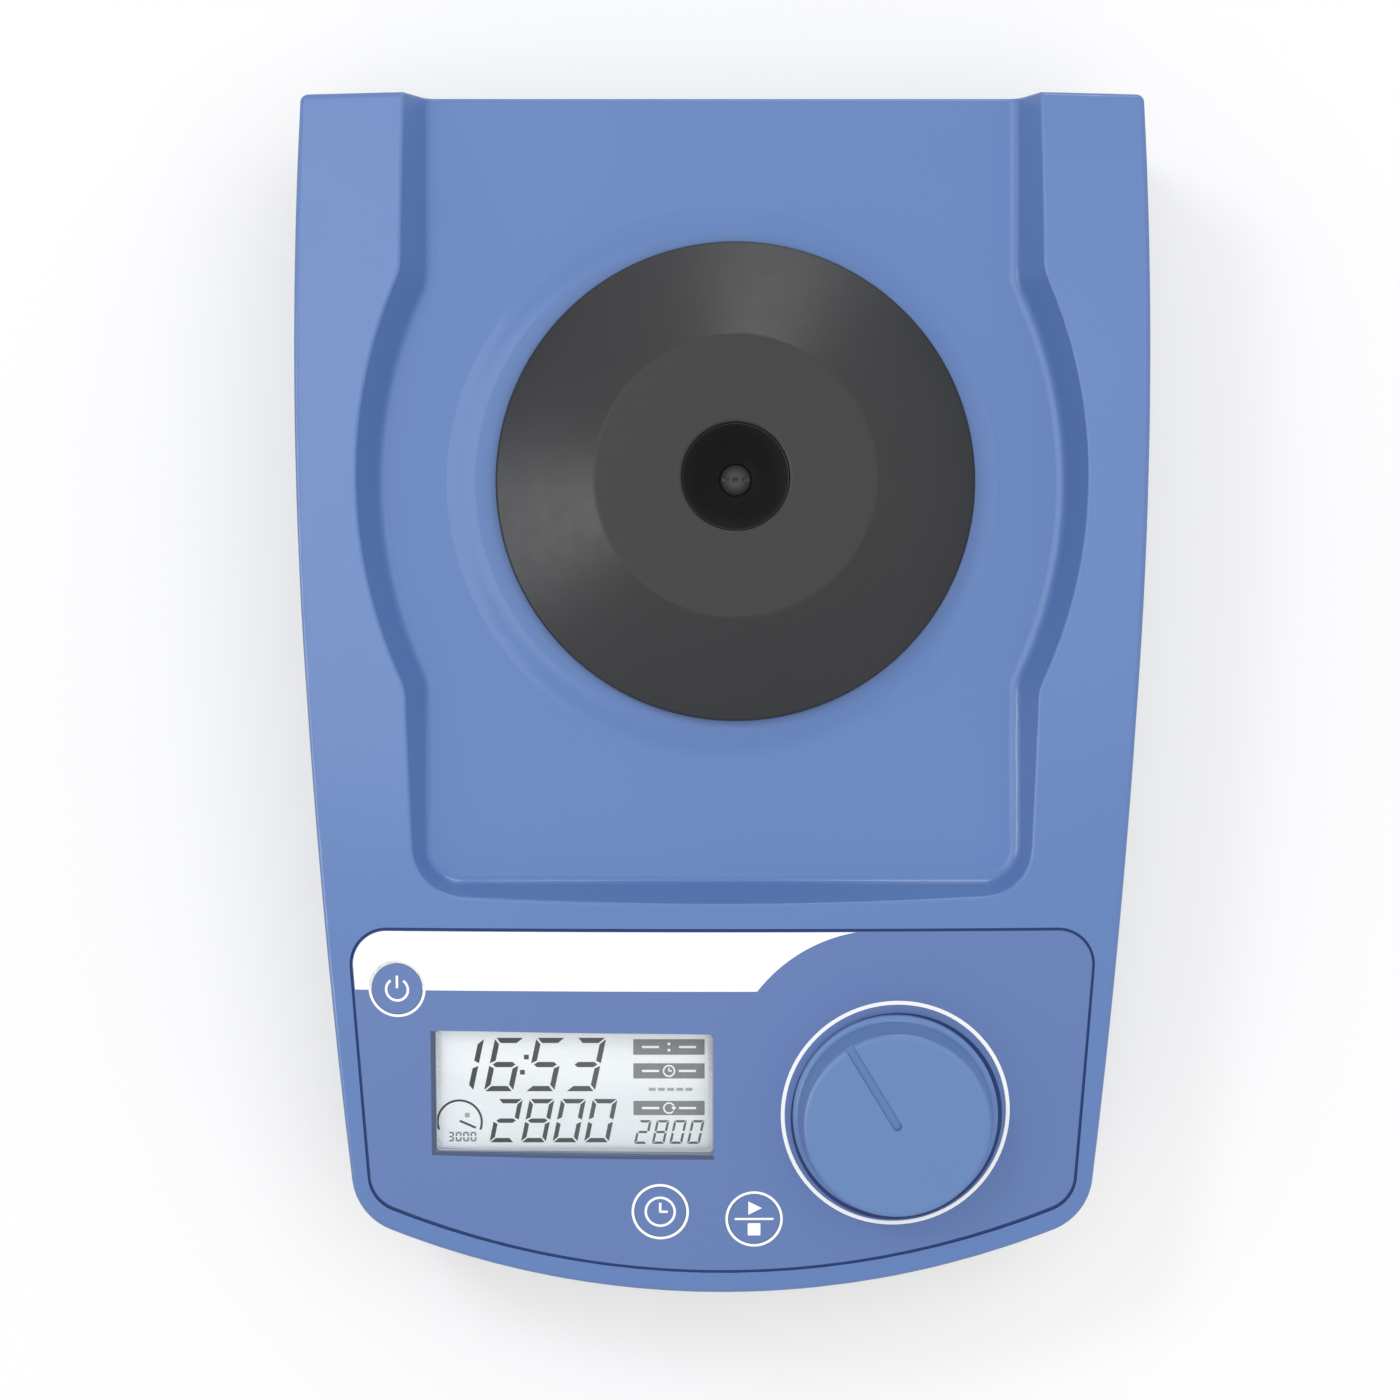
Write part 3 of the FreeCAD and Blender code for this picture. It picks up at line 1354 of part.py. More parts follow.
def make_knob():
    seat = on_panel("knob_x", "knob_up")
    box_top = f"(-({panel_drop('knob_x + encoder_half', 'encoder_half')} + wall + encoder_top_gap))"
    nut_low = f"(nut_gap - {panel_drop('knob_x - nut_across / 2', '0')})"
    nut_top = f"({nut_low} + nut_rise)"
    bushing_top = f"({nut_top} + bushing_rise)"
    knob_low = f"(knob_lift - {panel_drop('knob_x - knob_radius', '0')})"
    knob_top = f"({knob_low} + knob_rise)"
    shaft_bore = "(encoder_shaft_radius + encoder_shaft_gap)"

    encoder = new_body("rotary_encoder")
    plan = sketch(encoder, "encoder_plan", lift="-panel_board_depth")
    rectangle(plan, "-encoder_half", "encoder_half", "-encoder_half", "encoder_half")
    pad(encoder, plan, f"panel_board_depth + {box_top}")
    bushing = sketch(encoder, "encoder_bushing", lift=box_top)
    circle(bushing, "0", "0", "bushing_radius")
    pad(encoder, bushing, f"{bushing_top} - {box_top}")
    bore = sketch(encoder, "encoder_bore", lift=bushing_top)
    circle(bore, "0", "0", shaft_bore)
    pocket(encoder, bore, f"{bushing_top} - {box_top} + encoder_shaft_sink")
    keep(place(encoder, **seat))

    nut = new_body("encoder_nut")
    flats = sketch(nut, "nut_plan", lift=nut_low)
    reach = "nut_across / sqrt(3)"
    corners = [spun(reach, "0", str(60 * turn)) for turn in range(6)]
    outline(flats, corners)
    circle(flats, "0", "0", "bushing_radius + nut_gap")
    pad(nut, flats, "nut_rise")
    keep(place(nut, **seat))

    hub_low = f"({bushing_top} + knob_hub_lift)"
    roof = f"({knob_top} - knob_shell)"
    keep(turned("encoder_shaft", [
        ("0", f"{box_top} - encoder_shaft_sink + knob_hub_lift"),
        ("encoder_shaft_radius", f"{box_top} - encoder_shaft_sink + knob_hub_lift"),
        ("encoder_shaft_radius", roof),
        ("0", roof),
    ], **seat))

    knob = turned("speed_knob", [
        ("knob_radius - knob_shell", knob_low),
        ("knob_radius", knob_low),
        ("knob_radius", f"{knob_low} + knob_skirt"),
        ("knob_radius - knob_cove * sqrt(0.5)", f"{knob_low} + knob_skirt + knob_cove * (1 - sqrt(0.5))", "arc"),
        ("knob_radius - knob_cove", f"{knob_low} + knob_skirt + knob_cove"),
        ("knob_face_radius", knob_top),
        ("0", knob_top),
        ("0", roof),
        ("encoder_shaft_radius", roof),
        ("encoder_shaft_radius", hub_low),
        ("knob_hub_radius", hub_low),
        ("knob_hub_radius", roof),
        ("knob_face_radius - knob_shell", roof),
    ], **seat)

    def top_ring(edge):
        box = edge.BoundBox
        return abs(box.ZMax - amount(knob_top)) < 0.01 and box.ZLength < 0.01 and box.XLength > 10
    round_edges(knob, "knob_edge", "knob_edge", top_ring)
    slot = sketch(knob, "knob_slot", lift=knob_top)
    half = "knob_slot_width / 2"
    angle = "knob_slot_angle"
    outline(slot, [
        spun("knob_radius", half, angle),
        spun("0", half, angle),
        spun(f"-({half})", "0", angle) + ("arc",),
        spun("0", f"-({half})", angle),
        spun("knob_radius", f"-({half})", angle),
    ])
    pocket(knob, slot, "knob_slot_depth")
    keep(knob)


# A point at a distance along a direction and another across it
def spun(along, across, angle):
    cosine = f"cos({angle} * 1 deg)"
    sine = f"sin({angle} * 1 deg)"
    return (f"({along}) * {cosine} - ({across}) * {sine}", f"({along}) * {sine} + ({across}) * {cosine}")


def block(label, left, right, front, rear, low, rise):
    body = new_body(label)
    plan = sketch(body, label + "_plan", lift=low)
    rectangle(plan, left, right, front, rear)
    pad(body, plan, rise)
    return body


def make_main_board():
    top = "(board_height + board_thickness)"
    board = block("main_board", "-board_half_x", "board_half_x", "board_front_y", "board_rear_y",
                  "board_height", "board_thickness")
    pocket(board, circles(board, "main_board_holes", BOARD_HOLES, HOLE, top), "board_thickness")
    keep(board)
    seats = [{"x": x, "y": y, "z": top} for x, y in BOARD_HOLES]
    length = "board_thickness + frame_screw_length - frame_plate - tip_gap"
    make_screws("board_screws", seats, "screw_radius", length, "screw_head_radius", "screw_head_rise")

    side = "heatsink_half_x"
    sink = block("driver_heatsink", f"-{side}", side, "-heatsink_half_y", "heatsink_half_y",
                 "0", "heatsink_base")
    fin = sketch(sink, "heatsink_fin_plan", lift="heatsink_base")
    rectangle(fin, f"-{side}", f"-{side} + heatsink_fin", "-heatsink_half_y", "heatsink_half_y")
    first = pad(sink, fin, "heatsink_rise")
    fins = sink.newObject("PartDesign::LinearPattern", "heatsink_fins_row")
    fins.Originals = [first]
    fins.Direction = (axis_of(sink, "X_Axis"), [""])
    fins.setExpression("Length", linked("2 * heatsink_half_x - heatsink_fin"))
    fins.setExpression("Occurrences", linked("heatsink_fins"))
    sink.Tip = fins
    keep(place(sink, "heatsink_x", "heatsink_y", top))

    cans = []
    for number in range(3):
        cans.append(turned(f"capacitor_{number + 1}", [
            ("0", "0"),
            ("capacitor_radius", "0"),
            ("capacitor_radius", "capacitor_rise"),
            ("0", "capacitor_rise"),
        ], f"capacitor_x + {number} * capacitor_pitch", "capacitor_y", top))
    keep(gathered("capacitors", cans))
    keep(place(block("processor", "-processor_half", "processor_half", "-processor_half", "processor_half",
                     "0", "processor_rise"), "processor_x", "processor_y", top))


def make_ballast():
    for label, left, right in (("ballast_left", "-ballast_outer_x", "-ballast_inner_x"),
                               ("ballast_right", "ballast_inner_x", "ballast_outer_x")):
        bar = block(label, left, right, "ballast_front_y", "ballast_rear_y", FLOOR_TOP, "ballast_rise")
        keep(bar)


def make_power_inlet():
    keep(turned("power_inlet", [
        ("0", "-inlet_length"),
        ("inlet_radius", "-inlet_length"),
        ("inlet_radius", "-inlet_flange_rise"),
        ("inlet_flange", "-inlet_flange_rise"),
        ("inlet_flange", "0"),
        ("inlet_bore", "0"),
        ("inlet_bore", "-inlet_bore_depth"),
        ("inlet_pin_radius", "-inlet_bore_depth"),
        ("inlet_pin_radius", "-inlet_pin_sink"),
        ("0", "-inlet_pin_sink"),
    ], "inlet_x", "rear_reach", "inlet_z", "-90"))


def make_fasteners():
    make_screws("housing_screws", [{"x": x, "y": y, "z": "screw_seat"} for x, y in COLUMNS],
                "screw_radius", "screw_length", "screw_head_radius", "screw_head_rise", up=True)
    make_screws("foot_screws", [{"x": x, "y": y, "z": "foot_counterbore_rise"} for x, y in FEET],
                "screw_radius", "foot_screw_length", "screw_head_radius", "screw_head_rise", up=True)
    seats = [{"x": x, "y": f"drive_y + ({y})", "z": "frame_bottom + frame_plate"} for x, y in FRAME_HOLES]
    make_screws("frame_screws", seats, "frame_screw_radius", "frame_screw_length", "frame_screw_head",
                "frame_screw_rise")


def check_and_write():
    doc.recompute()
    failed = [item.Name for item in doc.Objects if {"Invalid", "Error"} & set(item.State)]
    if failed:
        raise SystemExit("failed: " + ", ".join(failed))
    os.makedirs("parts", exist_ok=True)
    for node in nodes:
        shape = node.Shape
        if shape.isNull() or not shape.isValid():
            raise SystemExit("bad shape: " + node.Label)
        shape.exportStep(f"parts/{node.Label}.step")
        print(node.Label, len(shape.Solids), round(shape.Volume, 1))


fill_sheet()
shared_openings = panel_openings()
make_upper_housing(shared_openings)
make_tray()
make_gasket()
make_feet()
make_drive_frame()
make_bearings()
make_stator()
make_rotor()
make_platform()
make_idler_cranks()
make_attachment()
make_foil(shared_openings)
make_keys()
make_panel_board()
make_display()
make_knob()
make_main_board()
make_ballast()
make_power_inlet()
make_fasteners()
check_and_write()
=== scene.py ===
import json
import math

import bpy
import numpy as np
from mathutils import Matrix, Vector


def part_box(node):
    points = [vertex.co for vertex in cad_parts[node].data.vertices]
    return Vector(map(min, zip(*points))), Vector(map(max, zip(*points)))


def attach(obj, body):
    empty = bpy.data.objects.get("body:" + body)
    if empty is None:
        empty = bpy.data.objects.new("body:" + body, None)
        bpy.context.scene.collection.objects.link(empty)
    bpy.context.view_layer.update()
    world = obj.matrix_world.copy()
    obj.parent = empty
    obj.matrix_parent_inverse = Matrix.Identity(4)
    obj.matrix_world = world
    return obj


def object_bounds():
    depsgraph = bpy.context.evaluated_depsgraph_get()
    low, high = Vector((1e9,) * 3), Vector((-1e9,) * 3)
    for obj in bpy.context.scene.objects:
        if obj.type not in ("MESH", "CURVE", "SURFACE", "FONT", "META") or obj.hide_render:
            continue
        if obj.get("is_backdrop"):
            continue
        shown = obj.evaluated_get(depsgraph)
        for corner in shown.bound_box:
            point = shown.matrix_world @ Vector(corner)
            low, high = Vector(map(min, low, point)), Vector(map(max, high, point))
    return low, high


# Mini shaker: finishes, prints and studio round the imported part. One unit is a metre.

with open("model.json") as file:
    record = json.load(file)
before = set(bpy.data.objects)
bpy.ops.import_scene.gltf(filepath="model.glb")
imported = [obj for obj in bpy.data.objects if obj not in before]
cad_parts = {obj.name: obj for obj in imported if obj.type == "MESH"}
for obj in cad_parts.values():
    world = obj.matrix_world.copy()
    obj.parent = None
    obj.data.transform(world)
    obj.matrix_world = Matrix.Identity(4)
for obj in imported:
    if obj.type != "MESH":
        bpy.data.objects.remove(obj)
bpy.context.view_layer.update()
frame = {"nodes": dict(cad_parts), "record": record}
nodes = frame["nodes"]
mm = 0.001
print("frame loaded:", len(nodes), "nodes")

# The camera looks straight down; its height, place along y and near end are in mm
camera = {"height": 650, "y": -0.57, "lens": 90, "sensor": 36, "shiftX": -0.0159, "near": 10}

eye = bpy.data.objects.new("camera", bpy.data.cameras.new("camera"))
bpy.context.scene.collection.objects.link(eye)
eye.location = (0, camera["y"] * mm, camera["height"] * mm)
eye.data.lens = camera["lens"]
eye.data.sensor_width = camera["sensor"]
eye.data.shift_x = camera["shiftX"]
eye.data.clip_start = camera["near"] * mm
bpy.context.scene.camera = eye
bpy.context.scene.view_settings.view_transform = "Standard"


# sRGB hex to linear light, with an alpha of one
def linear(text):
    parts = np.array([int(text[i:i + 2], 16) for i in (1, 3, 5)]) / 255
    straight = np.where(parts <= 0.04045, parts / 12.92, ((parts + 0.055) / 1.055) ** 2.4)
    return (*(float(part) for part in straight), 1.0)


# adds one node, sets its properties and inputs, and links its inputs
def addNode(tree, kind, settings=None, links=None):
    node = tree.nodes.new("ShaderNode" + kind)
    for name, value in (settings or {}).items():
        if isinstance(name, int) or name in node.inputs:
            node.inputs[name].default_value = value
        else:
            setattr(node, name, value)
    for name, source in (links or {}).items():
        tree.links.new(source, node.inputs[name])
    return node


def emptyTree(owner):
    owner.use_nodes = True
    owner.node_tree.nodes.clear()
    return owner.node_tree


studio = {
    "skyColour": "#ffffff",
    "skyLevel": 0.65,                  # what the surroundings give to a matt surface
    "skySeen": 1.0,                    # how bright they are where they are seen or mirrored
    "floorSize": 6000,
    "floorShade": (0.66, 0.69, 0.79),  # share of each colour that shade can take from the floor
    "floorWhite": 1.03,                # brightness of the floor where nothing shades it
    "floorBounce": "#e8e8e8",          # colour that the floor throws back at the part
    "aimHeight": 40,                   # what the soft boxes face, in mm over the floor
    # soft boxes: place, width and height in mm, watts, and which of shade and gleam they give
    "boxes": {
        "overhead": ((230, 60, 1280), 900, 900, 4.7, "diffuse"),
        "window": ((-430, 420, 950), 220, 220, 1.5, "diffuse"),
        "leftHigh": ((-640, 120, 1250), 800, 900, 4.2, "glossy"),
        "rightHigh": ((700, 120, 1250), 600, 800, 1.0, "glossy"),
        "leftLow": ((-900, -110, 330), 560, 260, 3.2, "glossy"),
        "rearLow": ((150, 950, 340), 480, 260, 2.5, "glossy"),
    },
}


# white where it is seen or mirrored, softer where it only lights
def makeSky(values):
    world = bpy.data.worlds.new("studioSky")
    bpy.context.scene.world = world
    tree = emptyTree(world)
    path = addNode(tree, "LightPath")
    direct = addNode(tree, "Math", {"operation": "MAXIMUM"},
                     {0: path.outputs["Is Camera Ray"], 1: path.outputs["Is Transmission Ray"]})
    seen = addNode(tree, "Math", {"operation": "MAXIMUM"},
                   {0: direct.outputs[0], 1: path.outputs["Is Glossy Ray"]})
    level = addNode(tree, "MapRange", {"To Min": values["skyLevel"], "To Max": values["skySeen"]},
                    {"Value": seen.outputs[0]})
    light = addNode(tree, "Background", {"Color": linear(values["skyColour"])},
                    {"Strength": level.outputs[0]})
    addNode(tree, "OutputWorld", {}, {"Surface": light.outputs[0]})


# a floor that the camera sees as white less its shade, and the part as plain paper
def makeFloor(values):
    half = values["floorSize"] * mm / 2
    corners = [(-half, -half, 0), (half, -half, 0), (half, half, 0), (-half, half, 0)]
    mesh = bpy.data.meshes.new("studioFloor")
    mesh.from_pydata(corners, [], [(0, 1, 2, 3)])
    floor = bpy.data.objects.new("studioFloor", mesh)
    bpy.context.scene.collection.objects.link(floor)
    material = bpy.data.materials.new("paperSweep")
    tree = emptyTree(material)
    shade = values["floorShade"]
    path = addNode(tree, "LightPath")
    matt = addNode(tree, "BsdfDiffuse", {"Color": (*shade, 1)})
    glow = addNode(tree, "Emission",
                   {"Color": (*(values["floorWhite"] - part for part in shade), 1)})
    bright = addNode(tree, "AddShader", {}, {0: matt.outputs[0], 1: glow.outputs[0]})
    plain = addNode(tree, "BsdfDiffuse", {"Color": linear(values["floorBounce"])})
    surface = addNode(tree, "MixShader", {}, {0: path.outputs["Is Camera Ray"],
                                              1: plain.outputs[0], 2: bright.outputs[0]})
    addNode(tree, "OutputMaterial", {}, {"Surface": surface.outputs[0]})
    mesh.materials.append(material)
    floor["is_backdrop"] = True


# a soft box that faces the middle of the part. Two boxes give the shade of matt walls and
# the soft shadows, and the others only show as gleams
def makeSoftBox(name, place, width, height, power, gives):
    lamp = bpy.data.lights.new(name, "AREA")
    lamp.shape = "RECTANGLE"
    lamp.size, lamp.size_y = width * mm, height * mm
    lamp.energy = power
    holder = bpy.data.objects.new(name, lamp)
    bpy.context.scene.collection.objects.link(holder)
    spot = np.array(place) * mm
    holder.location = spot
    aim = Vector(-spot + np.array([0, 0, studio["aimHeight"] * mm]))
    holder.rotation_mode = "QUATERNION"
    holder.rotation_quaternion = aim.to_track_quat("-Z", "Y")
    holder.visible_diffuse = gives == "diffuse"
    holder.visible_glossy = gives == "glossy"


makeSky(studio)
makeFloor(studio)
for name, box in studio["boxes"].items():
    makeSoftBox(name, *box)
print("studio ready")

# Every finish starts from what the real material is. Sizes of patterns are in millimetres:
# grain = (width of a bump, its depth), mottle = (width of a cloud, share of brightness),
# wear = share of roughness that wanders, coat = (weight, roughness), level = strength of the
# gleam, fade = (from, to across, colour there), brush = (width across the strokes, length
# along them, axis that they lie across)
finishes = {
    # Stoving enamel sprayed on die-cast zinc: satin, with a faint orange peel
    "housing_paint": {"title": "satinEnamelSprayed", "colour": "#5f80bb", "rough": 0.4,
                      "ior": 1.5, "grain": (1.6, 0.004), "mottle": (26, 0.025), "wear": 0.08,
                      "coat": (0.45, 0.18), "level": 0.3},
    # The same enamel on the tray, a shade paler and more matt where the coat is thinner
    "tray_paint": {"title": "satinEnamelTray", "colour": "#6c8abe", "rough": 0.46, "ior": 1.5,
                   "grain": (1.6, 0.005), "mottle": (22, 0.03), "wear": 0.08},
    # Extruded EPDM cord: dull black with a dusty skin
    "gasket_rubber": {"title": "epdmExtruded", "colour": "#26272a", "rough": 0.75, "ior": 1.5,
                      "grain": (0.5, 0.01), "mottle": (4, 0.08), "wear": 0.1},
    # Moulded nitrile feet: matt black, finely eroded mould surface
    "foot_rubber": {"title": "nitrileMoulded", "colour": "#2a2a2c", "rough": 0.7, "ior": 1.5,
                    "grain": (0.35, 0.012), "mottle": (3, 0.08), "wear": 0.1},
    # Zinc-plated steel, bright with a slight cloud
    "screw_steel": {"title": "steelZincPlated", "colour": "#b9bbbf", "rough": 0.3, "metal": 1,
                    "grain": (0.3, 0.002), "mottle": (1.5, 0.08), "wear": 0.15},
    # Sand-cast aluminium, machined where it seats: grainy and light grey
    "frame_aluminium": {"title": "aluminiumCast", "colour": "#c3c5c8", "rough": 0.5, "metal": 1,
                        "grain": (0.7, 0.02), "mottle": (5, 0.08), "wear": 0.2},
    # Ground bearing steel: near mirror, fine lines round the ring
    "bearing_steel": {"title": "bearingSteelGround", "colour": "#cfd0d2", "rough": 0.18,
                      "metal": 1, "brush": (0.06, 3, 2), "mottle": (3, 0.04), "wear": 0.1},
    # Ground tool steel of shafts and pins: a little softer than the bearings
    "shaft_steel": {"title": "toolSteelGround", "colour": "#bfc0c3", "rough": 0.24, "metal": 1,
                    "brush": (0.08, 4, 2), "mottle": (3, 0.05), "wear": 0.1},
    # Stacked electrical sheet: dark, with the edge of each sheet as a line
    "lamination_steel": {"title": "electricalSheetStacked", "colour": "#6f7175", "rough": 0.45,
                         "metal": 1, "brush": (0.5, 40, 2), "mottle": (3, 0.1), "wear": 0.15},
    # Enamelled copper wire, wound: warm, glossy, ribbed turn by turn
    "copper_wire": {"title": "copperEnamelled", "colour": "#c4713f", "rough": 0.28, "metal": 1,
                    "brush": (0.55, 12, 2), "mottle": (2, 0.1), "wear": 0.1},
    # Sintered ferrite: charcoal and finely granular
    "magnet_ferrite": {"title": "ferriteSintered", "colour": "#3b3c3f", "rough": 0.62,
                       "ior": 1.6, "grain": (0.25, 0.01), "mottle": (1.5, 0.1), "wear": 0.1},
    # Grey iron, cast and primed: dull and pitted
    "weight_iron": {"title": "greyIronPrimed", "colour": "#4a4c50", "rough": 0.6, "ior": 1.5,
                    "grain": (1.1, 0.04), "mottle": (6, 0.1), "wear": 0.12},
    # Blackened steel of the centre screw: dark, with a soft sheen
    "blackened_steel": {"title": "steelBlackened", "colour": "#48484a", "rough": 0.62,
                        "ior": 1.5, "grain": (0.3, 0.003), "mottle": (1.5, 0.06), "wear": 0.1},
    # Glass-filled polyamide, moulded: near black and dull
    "carrier_plastic": {"title": "polyamideGlassFilled", "colour": "#1b1b1d", "rough": 0.8,
                        "ior": 1.53, "level": 0.1, "grain": (0.4, 0.01), "mottle": (8, 0.05),
                        "wear": 0.1},
    # Moulded silicone-coated rubber: dark grey, satin on the flanks
    "attachment_rubber": {"title": "rubberMouldedSatin", "colour": "#313132", "rough": 0.43,
                          "ior": 1.5, "level": 0.35, "grain": (0.45, 0.008),
                          "mottle": (14, 0.05), "wear": 0.12},
    # Polyester film printed on its back, fine velvet texture on its face
    "printed_foil": {"title": "polyesterFilmTextured", "colour": "#5d79b2", "rough": 0.5,
                     "ior": 1.57, "grain": (0.3, 0.002), "mottle": (30, 0.015), "wear": 0.05},
    # The keys' caps have the film's own colour and texture
    "key_plastic": {"title": "polyesterKeyTextured", "colour": "#5d79b2", "rough": 0.5,
                    "ior": 1.57, "grain": (0.3, 0.002), "mottle": (30, 0.015), "wear": 0.05},
    # Moulded ABS, spark-eroded mould: soft sheen
    "knob_plastic": {"title": "absMouldedEroded", "colour": "#6384bb", "rough": 0.4,
                     "ior": 1.53, "grain": (0.5, 0.004), "mottle": (12, 0.02), "wear": 0.06},
    # Clear cast acrylic: a faint gleam and nothing else
    "window_plastic": {"title": "acrylicClear", "colour": "#f6fafb", "rough": 0.03,
                       "ior": 1.49, "alpha": 0.08},
    # Reflective liquid-crystal cell: pale, cool grey, finely sanded polariser; its faint glow is
    # painted light
    "display_plastic": {"title": "liquidCrystalCell", "colour": "#f3f7f9", "rough": 0.35,
                        "ior": 1.5, "glow": 0.12, "grain": (0.3, 0.001),
                        "mottle": (20, 0.015), "wear": 0.05},
    # Glass-fibre laminate under green solder resist: glossy and cloudy over its weave
    "board_laminate": {"title": "glassFibreSolderResist", "colour": "#1d5a34", "rough": 0.32,
                       "ior": 1.55, "grain": (0.5, 0.006), "mottle": (7, 0.12), "wear": 0.08},
    # Moulded epoxy of chips, coils and plugs: dull black
    "component_plastic": {"title": "epoxyMoulded", "colour": "#232427", "rough": 0.5,
                          "ior": 1.55, "grain": (0.3, 0.006), "mottle": (4, 0.06), "wear": 0.1},
    # Shrunk PVC sleeve over aluminium cans: dark blue and glossy
    "capacitor_sleeve": {"title": "pvcSleeveShrunk", "colour": "#2d3350", "rough": 0.25,
                         "ior": 1.54, "grain": (2, 0.01), "mottle": (5, 0.05), "wear": 0.08},
    # Nickel-plated brass, turned: warm and bright
    "nut_brass": {"title": "brassNickelPlated", "colour": "#c2bda8", "rough": 0.26, "metal": 1,
                  "brush": (0.1, 3, 2), "mottle": (2, 0.05), "wear": 0.12},
    # Stainless spring sheet, pressed: bright and smooth
    "dome_steel": {"title": "stainlessPressed", "colour": "#c6c6c6", "rough": 0.22, "metal": 1,
                   "grain": (0.4, 0.001), "mottle": (2, 0.04), "wear": 0.1},
}
# the noises behind the finishes: their detail, the width of a worn patch in mm, and how many
# times wider than deep a stroke is
noises = {"cloudDetail": 3.0, "fineDetail": 2.0, "patchWidth": 3, "strokeRatio": 20}


# one physical surface: colour clouded by a slow noise, roughness by a finer one, and a
# bump from a grain or from strokes that lie across one axis
def makeFinish(values):
    material = bpy.data.materials.new(values["title"])
    tree = emptyTree(material)
    place = addNode(tree, "TexCoord").outputs["Object"]
    colour, fine = linear(values["colour"]), noises["fineDetail"]
    shader = addNode(tree, "BsdfPrincipled", {"Base Color": colour,
                                              "Roughness": values["rough"],
                                              "Metallic": values.get("metal", 0)})
    if not values.get("metal"):
        shader.inputs["IOR"].default_value = values["ior"]
    if values.get("coat"):
        weight, rough = values["coat"]
        shader.inputs["Coat Weight"].default_value = weight
        shader.inputs["Coat Roughness"].default_value = rough
    if values.get("level"):
        shader.inputs["Specular IOR Level"].default_value = values["level"]
    # a glow is a faint emission in the surface's own colour: painted light
    if values.get("glow"):
        shader.inputs["Emission Color"].default_value = colour
        shader.inputs["Emission Strength"].default_value = values["glow"]
    if values.get("alpha"):
        shader.inputs["Alpha"].default_value = values["alpha"]
    if values.get("mottle"):
        width, share = values["mottle"]
        cloud = addNode(tree, "TexNoise",
                        {"Scale": 1 / (width * mm), "Detail": noises["cloudDetail"]},
                        {"Vector": place})
        tone = addNode(tree, "MapRange", {"To Min": 1 - share, "To Max": 1 + share},
                       {"Value": cloud.outputs[0]})
        shade = addNode(tree, "HueSaturation", {"Color": colour}, {"Value": tone.outputs[0]})
        tree.links.new(shade.outputs[0], shader.inputs["Base Color"])
    if values.get("fade"):
        start, end, paler = values["fade"]
        across = addNode(tree, "SeparateXYZ", {}, {0: place})
        share = addNode(tree, "MapRange", {"From Min": start * mm, "From Max": end * mm},
                        {"Value": across.outputs["X"]})
        blend = addNode(tree, "MixRGB", {1: colour, 2: linear(paler)}, {0: share.outputs[0]})
        tree.links.new(blend.outputs[0], shader.inputs["Base Color"])
    if values.get("wear"):
        patch = addNode(tree, "TexNoise",
                        {"Scale": 1 / (noises["patchWidth"] * mm), "Detail": fine},
                        {"Vector": place})
        rough = addNode(tree, "MapRange", {"To Min": values["rough"] * (1 - values["wear"]),
                                           "To Max": values["rough"] * (1 + values["wear"])},
                        {"Value": patch.outputs[0]})
        tree.links.new(rough.outputs[0], shader.inputs["Roughness"])
    height = None
    if values.get("grain"):
        width, depth = values["grain"]
        height = addNode(tree, "TexNoise", {"Scale": 1 / (width * mm), "Detail": fine},
                         {"Vector": place})
    if values.get("brush"):
        width, length, axis = values["brush"]
        depth = width / noises["strokeRatio"]
        stretch = [1 / (length * mm)] * 3
        stretch[axis] = 1 / (width * mm)
        turned = addNode(tree, "Mapping", {"Scale": stretch}, {"Vector": place})
        height = addNode(tree, "TexNoise", {"Scale": 1.0, "Detail": fine},
                         {"Vector": turned.outputs[0]})
    if height:
        relief = addNode(tree, "Bump", {"Strength": 1.0, "Distance": depth * mm},
                         {"Height": height.outputs[0]})
        tree.links.new(relief.outputs[0], shader.inputs["Normal"])
    addNode(tree, "OutputMaterial", {}, {"Surface": shader.outputs[0]})
    return material


materials = {slot: makeFinish(values) for slot, values in finishes.items()}
print("finishes made:", len(materials))

worn = {item["node"]: item["material_slot"] for item in frame["record"]["subparts"]}

for name, node in nodes.items():
    if not node.material_slots:
        node.data.materials.append(None)
    for holder in node.material_slots:
        holder.material = materials[worn[name]]

# The housing's top and the sloping panel in it, in mm, as the part's source has them. The
# cell's face lies below the window, so its depth is the window's sink and plate together
crown = {"height": 58, "y": 56, "radius": 430, "profileRadius": 900}
panel = {"y": -71.61, "tilt": math.radians(8.2), "cellDepth": 6.4}
inkDepth = (-0.05, 0.03)   # how far ink reaches below and above its surface


# height of the crowned top: an arc over the length, turned round an axis far below
def crownHeight(x, y):
    drop = np.sqrt(crown["profileRadius"] ** 2 - (y - crown["y"]) ** 2)
    ring = crown["radius"] - crown["profileRadius"] + drop
    return crown["height"] - crown["radius"] + np.sqrt(ring ** 2 - x ** 2)


# how far the crowned surface lies below the panel's flat plane, by two shallow arcs
def crownSag(x, up):
    return x ** 2 / (2 * crown["radius"]) + up ** 2 / (2 * crown["profileRadius"])


# spots by their plan coordinates, lifted off the crowned surface
def onPlan(x, y, lift):
    return np.stack([x, y, crownHeight(x, y) + lift], -1) * mm


# spots of the foil, given across and up along the panel: the panel's plane less the
# crown's sag gives the plan, and the crowned surface the height
def onFoil(x, up, lift):
    y = panel["y"] + up * np.cos(panel["tilt"]) + crownSag(x, up) * np.sin(panel["tilt"])
    return onPlan(x, y, lift)


# the same on the flat face of the display cell, which lies below the panel's plane
def onCell(x, up, lift):
    out = lift - panel["cellDepth"]
    sine, cosine = np.sin(panel["tilt"]), np.cos(panel["tilt"])
    y = panel["y"] + up * cosine - out * sine
    z = crownHeight(0, panel["y"]) + up * sine + out * cosine
    return np.stack([x + 0 * y, y, z], -1) * mm


